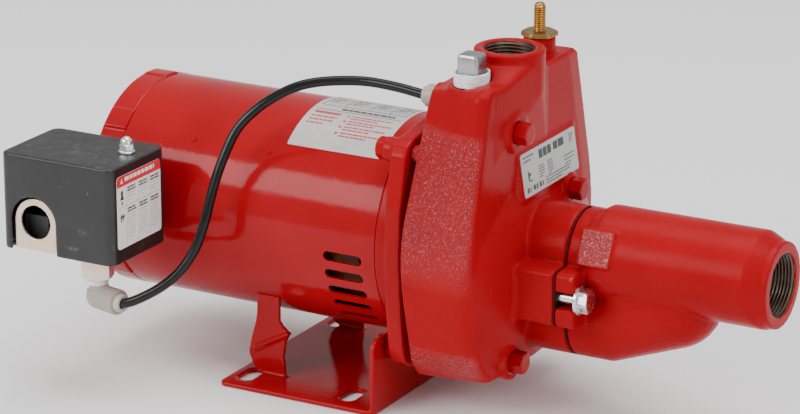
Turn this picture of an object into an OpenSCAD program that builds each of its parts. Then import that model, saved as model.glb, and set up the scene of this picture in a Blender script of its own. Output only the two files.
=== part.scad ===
// Shallow-well jet pump: electric motor, centrifugal pump, bolt-on ejector and pressure switch.
// Millimetres, +Z up, +X along the shaft from motor to suction port, floor at z = 0.

/* [Shaft line] */
// Height of the shaft axis above the floor
axis_z = 106; // [90:0.5:130]
// Radius of the motor shaft between the bearings
shaft_r = 10; // [8:0.5:12]
// Radius of the shaft where it enters the pump
shaft_pump_r = 7.94; // [7:0.01:9]
// Radius of the threaded shaft end that carries the impeller
shaft_thread_r = 5.5; // [4.5:0.1:6.5]
// Back end of the shaft
shaft_x0 = -124; // [-130:1:-118]
// Front end of the shaft
shaft_x1 = 120; // [116:1:124]

/* [Motor] */
// Outer radius of the motor shell
shell_r = 71; // [65:0.5:80]
// Thickness of the shell sheet
shell_wall = 1.6; // [1:0.1:3]
// Back end of the shell
shell_x0 = -134.5; // [-150:0.5:-120]
// Front end of the shell
shell_x1 = 61.8; // [55:0.1:70]
// Back face of the rear cover
cover_x0 = -156; // [-165:0.5:-145]
// Radius over the raised ribs of the rear cover
cover_rib_r = 72.3; // [71.5:0.1:75]
// Number of raised ribs round the rear cover
cover_ribs = 8; // [4:1:16]
// Back end of the stator stack
stator_x0 = -60; // [-70:1:-50]
// Front end of the stator stack
stator_x1 = 5; // [0:1:15]
// Bore radius of the stator
stator_bore_r = 35.2; // [30:0.1:40]
// Number of stator slots
stator_slots = 24; // [18:2:36]
// Air gap between stator and rotor
air_gap = 0.4; // [0.3:0.05:0.6]
// Length of one vent slot in the shell
vent_len = 28; // [20:0.5:36]
// Width of one vent slot
vent_w = 6.6; // [4:0.1:9]
// Back end of the vent slots
vent_x0 = 24.5; // [20:0.5:30]

/* [Drive end flange] */
// Back face of the square flange
flange_x0 = 71; // [68:0.5:74]
// Front face of the square flange
flange_x1 = 82; // [78:0.5:86]
// Half spacing of the flange bolts across the motor
flange_bolt_y = 55.2; // [52:0.1:60]
// Half spacing of the flange bolts up and down
flange_bolt_z = 65.5; // [60:0.5:70]

/* [Base stand] */
// Thickness of the base sheet
base_t = 3; // [2:0.1:5]
// Back edge of the base plate
base_x0 = -50; // [-60:1:-45]
// Front edge of the base plate
base_x1 = 65; // [62:0.5:70]
// Width of the base plate
base_w = 158; // [140:1:180]
// Distance between foot slots along the shaft
foot_dx = 76.2; // [70:0.1:85]
// Distance between foot slots across the shaft
foot_dy = 115.9; // [100:0.1:125]
// Half width of a foot slot
foot_r = 5.5; // [4:0.1:7]
// End to end length of a foot slot
foot_len = 22; // [14:0.5:30]

/* [Casing] */
// Back face of the pump casing
casing_x0 = 87; // [84:0.5:90]
// Front face of the pump casing
casing_x1 = 137; // [130:0.5:145]
// Distance of the discharge port from the motor side
discharge_x = 119.5; // [115:0.5:125]
// Height of the discharge port face
discharge_z = 232; // [225:0.5:240]
// Radius of the discharge port thread
discharge_r = 16; // [14:0.1:17]
// Outer radius of the discharge boss
discharge_boss_r = 22.8; // [20:0.1:24]
// Depth of the discharge thread
discharge_len = 30; // [24:1:34]
// Radius of the impeller chamber
chamber_r = 61; // [55:0.5:64]
// Front wall of the impeller chamber
chamber_x1 = 129; // [125:0.5:132]

/* [Ejector] */
// Face of the casing that takes the ejector gasket
pad_x = 174.5; // [170:0.5:180]
// Thickness of the ejector gasket
gasket_t = 1; // [0.5:0.1:2]
// Face of the suction port
suction_x = 309; // [295:1:320]
// Radius of the suction port thread
suction_r = 20; // [18:0.1:22]
// Depth of the suction thread
suction_len = 25; // [20:1:30]
// Outer radius of the ejector tube
ejector_r = 32.6; // [30:0.1:36]
// Height of the return passage axis
return_z = 66; // [60:0.5:72]

/* [Impeller] */
// Outer radius of the impeller
impeller_r = 55; // [45:0.5:56]
// Number of impeller vanes
impeller_vanes = 6; // [4:1:8]

/* [Pressure switch] */
// Length of the switch cover along the shaft
sw_len = 85; // [70:0.5:90]
// Depth of the switch cover across the shaft
sw_depth = 63; // [55:0.5:75]
// Top of the switch cover
sw_top = 157.5; // [145:0.5:165]
// Bottom edge of the switch cover
sw_bottom = 93; // [88:0.5:98]
// Radius of the conduit entry
conduit_r = 11.1; // [10:0.1:12]

/* [Pressure tube] */
// Outer radius of the pressure tube
tube_r = 3.175; // [2.5:0.005:4.5]

/* [Hidden] */
$fn = 64;

red = [0.72, 0.07, 0.09];
zinc = [0.72, 0.74, 0.76];
steel = [0.55, 0.56, 0.58];
brass = [0.72, 0.55, 0.25];
black = [0.08, 0.08, 0.09];
grey = [0.66, 0.65, 0.62];
white = [0.93, 0.93, 0.92];
label_grey = [0.80, 0.81, 0.82];
copper = [0.72, 0.40, 0.20];
plastic = [0.20, 0.20, 0.22];

shell_in = shell_r - shell_wall;
rotor_r = stator_bore_r - air_gap;
bolt_ring_r = 61.5;
vent_angles = [5.5, 15.7, 26.1, 36.5, 47.6];
bearing_r = 20;
bearing_bore = 8.5;
bearing_w = 12;
ball_ring_r = 14.2;
ball_r = 3.3;
front_bearing_x = 48;
rear_bearing_x = -121.8;
rear_disc_x0 = -108;
rear_disc_x1 = -104;
nipple_x = -120;
nipple_z = 112;
nipple_r = 10.4;
hex_k = 1.1547;
flange_bolt_r = 4;
base_web_x = 62;
spigot_r = 61.9;
seal_plate_x1 = 94;
imp_x0 = 104;
imp_x1 = 116;
eye_r = 19.5;
diffuser_x = 117;
port_a = [-28, 186];
port_b = [40, 132];
port_c = [-31, 36];
plug_r = 6.6;
plug_boss_r = 12.5;
plug_hex = 13;
prime_x = 113;
prime_y = -38;
prime_z = 215.5;
reg_x = 121;
reg_y = 38;
reg_z = 230.3;
reg_boss_r = 10.5;
reg_hex_t = 3;
reg_hex_r = 12.3;
reg_hex_turn = 29;
reg_stem_r = 3.9;
reg_stem_z0 = 184;
reg_stem_top = 251.9;
fit_y = -30;
fit_z = 202;
fit_x = 84.5;
bolt_boss_r = 5.6;
bolt_boss_x1 = 87.3;
bolt_end_x = 90;
plate_x0 = 138;
plate_y0 = -21.4;
plate_top = 168.8;
plate_w = 75;
plate_h = 28;
plate_t = 0.4;
plate_tilt = -9;
pad_edge = 2;
lug_y = 45;
lug_z0 = 69;
lug_z1 = 105;
collar_r = 29;
return_boss_r = 28;
ej_x0 = pad_x + gasket_t;
ej_lug_x = 188.5;
ej_bolt_y = 37;
ej_bolt_z = 87.3;
sw_x1 = -87;
sw_x0 = sw_x1 - sw_len;
sw_y0 = -142;
sw_y1 = sw_y0 + sw_depth;
sw_wall = 2.2;
sw_corner = 6;
conduit_x = -147.5;
conduit_z = 113;
conn_x = -120;
conn_y = -111;
conn_z0 = 72.5;
line_tape_h = 4.4;
post_x = -100;
post_y = -104;
range_x = -107;
range_y = -121;
elbow_x = -119.5;
elbow_z = 59.5;
elbow_turn = -14;
lever_z = 108;

// ---- helpers: bodies of revolution and plates along the shaft ----
module rod_x(x0, x1, r, y = 0, z = axis_z) {
    translate([x0, y, z])
        rotate([0, 90, 0])
            cylinder(h = x1 - x0, r = r);
}

module cone_x(x0, x1, r0, r1, y = 0, z = axis_z) {
    translate([x0, y, z])
        rotate([0, 90, 0])
            cylinder(h = x1 - x0, r1 = r0, r2 = r1);
}

module ring_x(x0, x1, ro, ri, y = 0, z = axis_z) {
    difference() {
        rod_x(x0, x1, ro, y, z);
        rod_x(x0 - 1, x1 + 1, ri, y, z);
    }
}

module plate_x(x0, x1) {
    translate([x0, 0, 0])
        rotate([90, 0, 90])
            linear_extrude(height = x1 - x0)
                children();
}

module hex_x(x0, x1, across, y, z) {
    translate([x0, y, z])
        rotate([0, 90, 0])
            cylinder(h = x1 - x0, r = across * hex_k / 2, $fn = 6);
}

module turned(angle) {
    translate([0, 0, axis_z])
        rotate([angle, 0, 0])
            translate([0, 0, -axis_z])
                children();
}

// shifts a body on the shaft axis to one of the four flange bolts
module at_flange_bolt(side, level) {
    translate([0, side * flange_bolt_y, level * flange_bolt_z])
        children();
}

module round_rect(w, h, r) {
    union() {
        translate([r, 0])
            square([w - 2 * r, h]);
        translate([0, r])
            square([w, h - 2 * r]);
        for (x = [r, w - r])
            for (y = [r, h - r])
                translate([x, y])
                    circle(r = r);
    }
}

module slot_y(r, len) {
    union() {
        translate([-r, -len / 2 + r])
            square([2 * r, len - 2 * r]);
        for (s = [-1, 1])
            translate([0, s * (len / 2 - r)])
                circle(r = r);
    }
}

// ---- swept tubes: a ring of points at each station of a path ----
function unit(v) = v / norm(v);
function ring_at(p, t, up, r, sides) =
    let (u = unit(cross(up, t)), w = cross(t, u))
    [for (k = [0 : sides - 1]) p + r * cos(360 * k / sides) * u + r * sin(360 * k / sides) * w];
function tangent(path, i) =
    unit(path[min(i + 1, len(path) - 1)] - path[max(i - 1, 0)]);

module sweep(path, r, sides, up) {
    n = len(path);
    points = [for (i = [0 : n - 1]) each ring_at(path[i], tangent(path, i), up, r, sides)];
    lower_faces = [for (i = [0 : n - 2]) for (k = [0 : sides - 1])
        [i * sides + k, (i + 1) * sides + k, (i + 1) * sides + (k + 1) % sides]];
    upper_faces = [for (i = [0 : n - 2]) for (k = [0 : sides - 1])
        [i * sides + k, (i + 1) * sides + (k + 1) % sides, i * sides + (k + 1) % sides]];
    start_face = [for (k = [0 : sides - 1]) k];
    end_face = [for (k = [sides - 1 : -1 : 0]) (n - 1) * sides + k];
    polyhedron(points = points, faces = concat([start_face], lower_faces, upper_faces, [end_face]));
}

function coil_path(r, pitch, turns, steps) =
    [for (i = [0 : turns * steps]) [r * cos(360 * i / steps), r * sin(360 * i / steps), pitch * i / steps]];

module coil(r, wire, pitch, turns) {
    sweep(coil_path(r, pitch, turns, 14), wire, 6, [0, 0, 1]);
}

// ---- pressure tube route, from the straight fitting to the elbow ----
route = [[80, -30, 202], [74, -30, 202], [56, -30, 204], [36, -31, 205], [20, -35, 204.5], [5, -41, 203],
    [-7, -48, 200], [-18, -56, 194], [-28, -63, 186], [-38, -71, 173], [-44, -80, 153], [-47, -87, 135],
    [-49, -93, 117], [-53, -98, 100], [-60, -104, 86], [-69, -109, 76], [-81, -114, 67.5],
    [-94, -117, 61], [-104, -114.9, 59.5]];
route_steps = 4;
function route_point(i) = route[min(max(i, 0), len(route) - 1)];
function curve(a, b, c, d, t) =
    0.5 * (2 * b + (c - a) * t + (2 * a - 5 * b + 4 * c - d) * t * t + (3 * b - a - 3 * c + d) * t * t * t);
tube_path = concat(
    [for (i = [0 : len(route) - 2]) for (k = [0 : route_steps - 1])
        curve(route_point(i - 1), route_point(i), route_point(i + 1), route_point(i + 2), k / route_steps)],
    [route[len(route) - 1]]);

// ---- base and motor housing ----
module base_leg() {
    leg_in = 49.5;
    leg_t = 3;
    difference() {
        union() {
            translate([0, -leg_in, 0])
                rotate([90, 0, 0])
                    linear_extrude(height = leg_t)
                        polygon([[-33, 0], [-15, 0], [-16.5, 16], [-15, 27], [-11.5, 33.6], [-17, 37.5],
                            [-19.6, 41], [-19, 60], [-36, 60], [-37, 40], [-41, 26], [-43, 16], [-40, 8]]);
            translate([-38, -leg_in - leg_t, 20])
                rotate([0, 62, 0])
                    cylinder(h = 29, r = 1.7);
        }
        rod_x(-60, 10, shell_r);
    }
}

module base_stand() {
    ear_h = 50;
    ear_r = 8;
    ear_half = 78;
    color(red)
        difference() {
            union() {
                translate([base_x0, -base_w / 2, 0])
                    linear_extrude(height = base_t)
                        round_rect(base_x1 - base_x0, base_w, 5);
                plate_x(base_web_x, base_x1)
                    union() {
                        translate([-ear_half, 0])
                            square([2 * ear_half, ear_h - ear_r]);
                        translate([ear_r - ear_half, 0])
                            square([2 * (ear_half - ear_r), ear_h]);
                        for (s = [-1, 1])
                            translate([s * (ear_half - ear_r), ear_h - ear_r])
                                circle(r = ear_r);
                    }
                base_leg();
                mirror([0, 1, 0])
                    base_leg();
            }
            for (x = [-foot_dx / 2, foot_dx / 2])
                for (y = [-foot_dy / 2, foot_dy / 2])
                    translate([x, y, -1])
                        linear_extrude(height = base_t + 2)
                            slot_y(foot_r, foot_len);
            rod_x(base_web_x - 1, base_x1 + 1, shell_r + 1);
            for (s = [-1, 1])
                at_flange_bolt(s, -1)
                    rod_x(base_web_x - 1, base_x1 + 1, flange_bolt_r + 0.2);
        }
}

module vent_slot(angle) {
    depth = 8;
    turned(angle)
        translate([vent_x0 + vent_len / 2, -shell_r + depth / 2, axis_z])
            rotate([90, 90, 0])
                linear_extrude(height = depth)
                    slot_y(vent_w / 2, vent_len);
}

module motor_shell() {
    color(red)
        difference() {
            union() {
                rod_x(shell_x0, shell_x1, shell_r);
                for (x = [-82.6, -26.2])
                    turned(-43.5)
                        translate([x, -shell_r - 0.5, axis_z])
                            rotate([-90, 0, 0])
                                cylinder(h = 2, r = 1.7);
            }
            rod_x(shell_x0 - 1, shell_x1 + 1, shell_in);
            for (a = vent_angles) {
                vent_slot(a);
                mirror([0, 1, 0])
                    vent_slot(a);
            }
            translate([nipple_x, -shell_r - 5, nipple_z])
                rotate([-90, 0, 0])
                    cylinder(h = 20, r = nipple_r + 0.2);
        }
}

module flange_outline() {
    polygon([[-25, 185], [25, 185], [57, 180], [63, 177.5], [67, 172], [73.5, 138], [75, 106], [73, 70],
        [70, 44], [66, 35], [58, 30], [25, 27], [-25, 27], [-58, 30], [-66, 35], [-70, 44],
        [-73, 70], [-75, 106], [-73.5, 138], [-67, 172], [-63, 177.5], [-57, 180]]);
}

module drive_end_bell() {
    lug_r = 8;
    ring_in = 66;
    end_wall_x0 = 63;
    color(red)
        difference() {
            union() {
                plate_x(flange_x0, flange_x1)
                    flange_outline();
                ring_x(shell_x1, flange_x0 + 1, shell_r, ring_in);
                ring_x(shell_x1 - 6, shell_x1 + 1, shell_in - 0.1, ring_in);
                rod_x(front_bearing_x - 2, flange_x1, bearing_r + 5);
                ring_x(end_wall_x0, flange_x0 - 2, ring_in + 1, bearing_r + 4);
                for (s = [-1, 1]) {
                    rod_x(62.5, flange_x0 + 1, lug_r, s * flange_bolt_y, axis_z + flange_bolt_z);
                    rod_x(base_x1, flange_x0 + 1, lug_r, s * flange_bolt_y, axis_z - flange_bolt_z);
                    turned(s * 45)
                        rod_x(55, flange_x0 + 1, 7, 0, axis_z + bolt_ring_r);
                    turned(180 + s * 45)
                        rod_x(55, flange_x0 + 1, 7, 0, axis_z + bolt_ring_r);
                }
            }
            rod_x(front_bearing_x - 3, front_bearing_x + bearing_w, bearing_r);
            rod_x(front_bearing_x, flange_x1 + 1, 12);
            rod_x(flange_x1 - 12, flange_x1 + 1, 30.1);
            for (a = [0 : 60 : 300])
                turned(a)
                    rod_x(flange_x0 - 1, flange_x1 + 1, 10, 0, axis_z + 47);
            for (s = [-1, 1])
                for (t = [-1, 1]) {
                    at_flange_bolt(s, t)
                        rod_x(60, flange_x1 + 1, flange_bolt_r + 0.2);
                    turned(90 + 90 * t + s * 45)
                        rod_x(50, flange_x0 - 1, 2.5, 0, axis_z + bolt_ring_r);
                }
        }
}

module rear_end_bell() {
    ring_in = 66;
    color(red)
        difference() {
            union() {
                ring_x(shell_x0, rear_disc_x1, shell_in - 0.1, ring_in);
                rod_x(rear_disc_x0, rear_disc_x1, ring_in + 1);
                rod_x(rear_bearing_x - 2, rear_disc_x1, bearing_r + 4);
            }
            rod_x(rear_bearing_x - 3, rear_bearing_x + bearing_w, bearing_r);
            rod_x(rear_bearing_x, rear_disc_x1 + 1, 11);
            for (a = [0 : 60 : 300])
                turned(a)
                    rod_x(rear_disc_x0 - 1, rear_disc_x1 + 1, 9, 0, axis_z + 44);
            for (a = [45 : 90 : 315])
                turned(a)
                    rod_x(rear_disc_x0 - 1, rear_disc_x1 + 1, 2.5, 0, axis_z + bolt_ring_r);
            translate([nipple_x, -shell_r - 5, nipple_z])
                rotate([-90, 0, 0])
                    cylinder(h = 20, r = nipple_r + 0.2);
        }
}

module cover_outline() {
    rib_turn = 35.5;
    rib_span = 12;
    reach = 80;
    union() {
        circle(r = shell_r + 0.2);
        intersection() {
            circle(r = cover_rib_r);
            union() {
                for (i = [0 : cover_ribs - 1])
                    rotate(rib_turn + 360 * i / cover_ribs)
                        polygon([[0, 0], [reach, 0], [reach * cos(rib_span), reach * sin(rib_span)]]);
            }
        }
    }
}

module rear_cover() {
    rim_x = -150.5;
    crown_r = 66;
    inside_r = 66.5;
    back_t = 2;
    color(red)
        difference() {
            union() {
                intersection() {
                    translate([0, 0, axis_z])
                        plate_x(cover_x0, shell_x0)
                            cover_outline();
                    union() {
                        rod_x(rim_x, shell_x0, cover_rib_r + 1);
                        cone_x(cover_x0, rim_x, crown_r, cover_rib_r + 1);
                    }
                }
            }
            rod_x(cover_x0 + back_t, shell_x0 + 1, inside_r);
            for (a = [0 : 45 : 315])
                turned(a + 20)
                    translate([cover_x0 - 1, -3, axis_z + 28])
                        cube([4, 6, 26]);
            for (s = [-1, 1])
                rod_x(cover_x0 - 1, cover_x0 + 4, 2.2, s * 60, axis_z);
        }
}

module cover_screws() {
    color(zinc)
        for (s = [-1, 1]) {
            rod_x(cover_x0 - 2.2, cover_x0, 4.2, s * 60, axis_z);
            rod_x(cover_x0 - 1, cover_x0 + 12, 2.1, s * 60, axis_z);
        }
}

// ---- electrical parts inside the motor ----
module stator_core() {
    tooth_r = stator_bore_r + 1.8;
    slot_depth = 14;
    color(steel)
        translate([0, 0, axis_z])
            plate_x(stator_x0, stator_x1)
                difference() {
                    circle(r = shell_in - 0.1);
                    circle(r = stator_bore_r);
                    for (i = [0 : stator_slots - 1])
                        rotate(360 * i / stator_slots) {
                            translate([tooth_r, -2.6])
                                square([slot_depth, 5.2]);
                            translate([stator_bore_r - 1, -1])
                                square([4, 2]);
                        }
                    for (a = [45 : 90 : 315])
                        rotate(a)
                            translate([bolt_ring_r, 0])
                                circle(r = 2.8);
                }
}

module stator_windings() {
    overhang = 23;
    end_turn_out = 57;
    end_turn_in = 38;
    bar_r0 = stator_bore_r + 2.1;
    color(copper)
        union() {
            ring_x(stator_x1 + 1, stator_x1 + overhang, end_turn_out, end_turn_in);
            ring_x(stator_x0 - overhang, stator_x0 - 1, end_turn_out, end_turn_in);
            translate([0, 0, axis_z])
                plate_x(stator_x0 - 2, stator_x1 + 2)
                    for (i = [0 : stator_slots - 1])
                        rotate(360 * i / stator_slots)
                            translate([bar_r0, -2.3])
                                square([13.2, 4.6]);
        }
}

module thermal_protector() {
    color(black)
        union() {
            rod_x(-116, rear_disc_x0, 9, 32, 78);
            rod_x(-119, -115, 3, 32, 78);
        }
}

module start_capacitor() {
    cap_x = -131;
    cap_z = 147;
    color(black)
        union() {
            translate([cap_x, -28, cap_z])
                rotate([-90, 0, 0])
                    cylinder(h = 56, r = 16.5);
            for (x = [cap_x - 6, cap_x + 6])
                translate([x, 27, cap_z])
                    rotate([-90, 0, 0])
                        cylinder(h = 6, r = 1.6);
        }
}

module terminal_board() {
    color(plastic)
        union() {
            translate([rear_disc_x0 - 3, -24, 46])
                cube([3, 48, 26]);
            for (y = [-17 : 8.5 : 17])
                rod_x(rear_disc_x0 - 10, rear_disc_x0 - 2, 2, y, 60);
        }
}

module start_switch_board() {
    color(plastic)
        difference() {
            union() {
                translate([rear_disc_x1, -28, axis_z - 24])
                    cube([3, 14, 48]);
                translate([rear_disc_x1, -28, axis_z + 15])
                    cube([5, 14, 7]);
            }
            rod_x(rear_disc_x1 - 1, rear_disc_x1 + 4, 1.6, -21, axis_z - 18);
        }
}

module switch_leaf() {
    color(brass)
        union() {
            translate([-99.4, -26, axis_z - 3.5])
                cube([0.8, 10, 18]);
            rod_x(-100.7, -99, 1.5, -21, axis_z + 3);
            translate([-99, -26, axis_z + 14])
                rotate([-90, 0, 0])
                    cylinder(h = 10, r = 0.6);
        }
}

module through_bolts() {
    color(zinc)
        for (a = [45 : 90 : 315])
            turned(a) {
                rod_x(rear_disc_x0 - 1, 70, 2.4, 0, axis_z + bolt_ring_r);
                hex_x(rear_disc_x0 - 4, rear_disc_x0, 7, 0, axis_z + bolt_ring_r);
            }
}

module motor_label() {
    color(label_grey)
        intersection() {
            ring_x(-16, 52, shell_r + 0.3, shell_r);
            translate([0, 0, axis_z])
                plate_x(-20, 60)
                    polygon([[0, 0], [-80, 94.3], [80, 94.3]]);
        }
}

// ---- rotating assembly ----
module motor_shaft() {
    color(steel)
        union() {
            rod_x(shaft_x0, rear_bearing_x + bearing_w, bearing_bore);
            rod_x(rear_bearing_x + bearing_w, front_bearing_x, shaft_r);
            rod_x(front_bearing_x, 61, bearing_bore);
            rod_x(61, imp_x0, shaft_pump_r);
            rod_x(imp_x0, shaft_x1, shaft_thread_r);
        }
}

module rotor_core() {
    color(steel)
        ring_x(stator_x0, stator_x1, rotor_r, shaft_r);
}

module rotor_cage() {
    ring_out = 32.5;
    ring_in = 20;
    color(zinc)
        union() {
            ring_x(stator_x1, stator_x1 + 8, ring_out, ring_in);
            ring_x(stator_x0 - 8, stator_x0, ring_out, ring_in);
            for (a = [0 : 45 : 315])
                turned(a) {
                    translate([stator_x1 + 7, -1.2, axis_z + ring_in + 1])
                        cube([10, 2.4, 10]);
                    translate([stator_x0 - 15, -1.2, axis_z + ring_in + 1])
                        cube([8, 2.4, 10]);
                }
        }
}

module governor_hub() {
    color(steel)
        union() {
            ring_x(-92, -82, 16, shaft_r);
            for (a = [0, 180])
                turned(a)
                    translate([-92, -5, axis_z + 13])
                        cube([10, 10, 12]);
        }
}

module governor_collar() {
    color(black)
        union() {
            ring_x(-98.3, -95.3, 24, shaft_r + 0.08);
            ring_x(-98.3, -95, 14, shaft_r + 0.08);
        }
}

module bearing_pair() {
    for (x = [front_bearing_x, rear_bearing_x])
        translate([x + bearing_w / 2, 0, axis_z])
            rotate([0, 90, 0])
                children();
}

module bearing_outer_rings() {
    color(steel)
        bearing_pair()
            difference() {
                cylinder(h = bearing_w, r = bearing_r, center = true);
                cylinder(h = bearing_w + 2, r = 16.4, center = true);
                rotate_extrude()
                    translate([ball_ring_r, 0])
                        circle(r = ball_r + 0.05);
            }
}

module bearing_inner_rings() {
    color(steel)
        bearing_pair()
            difference() {
                cylinder(h = bearing_w, r = 12, center = true);
                cylinder(h = bearing_w + 2, r = bearing_bore, center = true);
                rotate_extrude()
                    translate([ball_ring_r, 0])
                        circle(r = ball_r + 0.05);
            }
}

module bearing_balls() {
    color(zinc)
        bearing_pair()
            for (a = [0 : 45 : 315])
                rotate(a)
                    translate([ball_ring_r, 0, 0])
                        sphere(r = ball_r);
}

module slinger() {
    color(black)
        union() {
            ring_x(71.5, 74.5, 22, shaft_pump_r);
            ring_x(70.4, 75.5, 10.5, shaft_pump_r);
        }
}

// ---- pump internals ----
module seal_plate() {
    color(red)
        difference() {
            union() {
                rod_x(flange_x1 - 5.5, flange_x1, 30);
                rod_x(flange_x1, casing_x0, 50);
                rod_x(casing_x0, seal_plate_x1, spigot_r);
            }
            rod_x(flange_x1 - 6, seal_plate_x1 + 1, 9.5);
            rod_x(seal_plate_x1 - 6, seal_plate_x1 + 1, 13.5);
            ring_x(casing_x0 + 2, casing_x0 + 5, spigot_r + 1, spigot_r - 2.6);
        }
}

module casing_oring() {
    color(black)
        ring_x(casing_x0 + 2.1, casing_x0 + 4.9, spigot_r, spigot_r - 2.5);
}

module seal_seat() {
    color(white)
        ring_x(seal_plate_x1 - 6, seal_plate_x1, 13.5, 9.2);
}

module seal_head() {
    color(black)
        union() {
            ring_x(seal_plate_x1 + 0.3, 97.5, 12.5, shaft_pump_r);
            ring_x(97.5, 99, 10, shaft_pump_r);
        }
}

module seal_spring() {
    color(zinc)
        translate([98.4, 0, axis_z])
            rotate([0, 90, 0])
                coil(11.3, 0.8, 1.6, 3);
}

module impeller_vane() {
    inner = 20.5;
    reach = impeller_r - 0.6 - inner;
    points_out = [for (i = [0 : 6]) let (r = inner + reach * i / 6, a = 11 * i)
        [r * cos(a), r * sin(a)]];
    points_back = [for (i = [6 : -1 : 0]) let (r = inner + reach * i / 6, a = 11 * i + 130 / r)
        [r * cos(a), r * sin(a)]];
    polygon(concat(points_out, points_back));
}

module impeller() {
    shroud_t = 2;
    color(brass)
        difference() {
            union() {
                rod_x(imp_x0, imp_x1 - 2, 12);
                rod_x(imp_x0, imp_x0 + shroud_t, impeller_r);
                ring_x(imp_x1 - 3 - shroud_t, imp_x1 - 3, impeller_r, eye_r);
                ring_x(imp_x1 - 5, imp_x1 + 5, eye_r + 3, eye_r);
                translate([0, 0, axis_z])
                    plate_x(imp_x0 + shroud_t - 0.5, imp_x1 - 3 - shroud_t + 0.5)
                        for (i = [0 : impeller_vanes - 1])
                            rotate(360 * i / impeller_vanes)
                                impeller_vane();
            }
            rod_x(imp_x0 - 1, imp_x1 + 1, shaft_thread_r);
        }
}

module diffuser() {
    rim_in = 55.8;
    rim_out = 60.6;
    color(plastic)
        union() {
            ring_x(diffuser_x, diffuser_x + 3, rim_out, eye_r + 3.4);
            ring_x(diffuser_x + 2, chamber_x1 + 1.5, 26.6, eye_r + 3.4);
            for (a = [0 : 45 : 315])
                intersection() {
                    ring_x(seal_plate_x1, diffuser_x + 1, rim_out, rim_in);
                    turned(a)
                        translate([seal_plate_x1, -6, axis_z + 50])
                            cube([30, 12, 14]);
                }
        }
}

// ---- casing ----
module casing_front_outline(near = 0, far = 0) {
    half = [[56, 219], [62, 215], [65.5, 200], [69, 185], [73.5, 170], [78, 155], [82, 140], [85, 125],
        [86.5, 110], [85.5, 90], [80, 60], [69, 38], [58, 28]];
    polygon(concat([for (q = half) [q[0] - far, q[1]]],
        [for (i = [len(half) - 1 : -1 : 0]) [near - half[i][0], half[i][1]]]));
}

module casing_rear_outline() {
    lower = [[62.8, 157], [70, 148], [77, 138], [81, 127.5], [82.8, 117.5], [83.2, 104.5], [82.2, 91.5],
        [79.2, 77.5], [75.2, 63.5], [72, 50], [69, 37], [60, 27]];
    far_top = [[57, 217.5], [60, 195], [61, 178]];
    near_top = [[-59.4, 171], [-55.5, 183], [-48.8, 199], [-42.5, 210]];
    polygon(concat(far_top, lower, [for (i = [len(lower) - 1 : -1 : 0]) [-lower[i][0], lower[i][1]]],
        near_top));
}

module ejector_outline() {
    union() {
        translate([0, axis_z])
            circle(r = collar_r);
        translate([0, return_z])
            circle(r = return_boss_r);
        translate([-lug_y, lug_z0])
            round_rect(2 * lug_y, lug_z1 - lug_z0, 4);
    }
}

module plug_boss(p) {
    rod_x(casing_x1 - 6, casing_x1 + 4, plug_boss_r, p[0], p[1]);
}

// local frame of the nameplate: origin at its top corner on the switch side, +Z up its face
module on_nameplate() {
    translate([plate_x0, plate_y0, plate_top])
        rotate([0, plate_tilt, 0])
            children();
}

module plug_hole(p) {
    rod_x(casing_x1 - 12, casing_x1 + 5, plug_r, p[0], p[1]);
}

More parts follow.
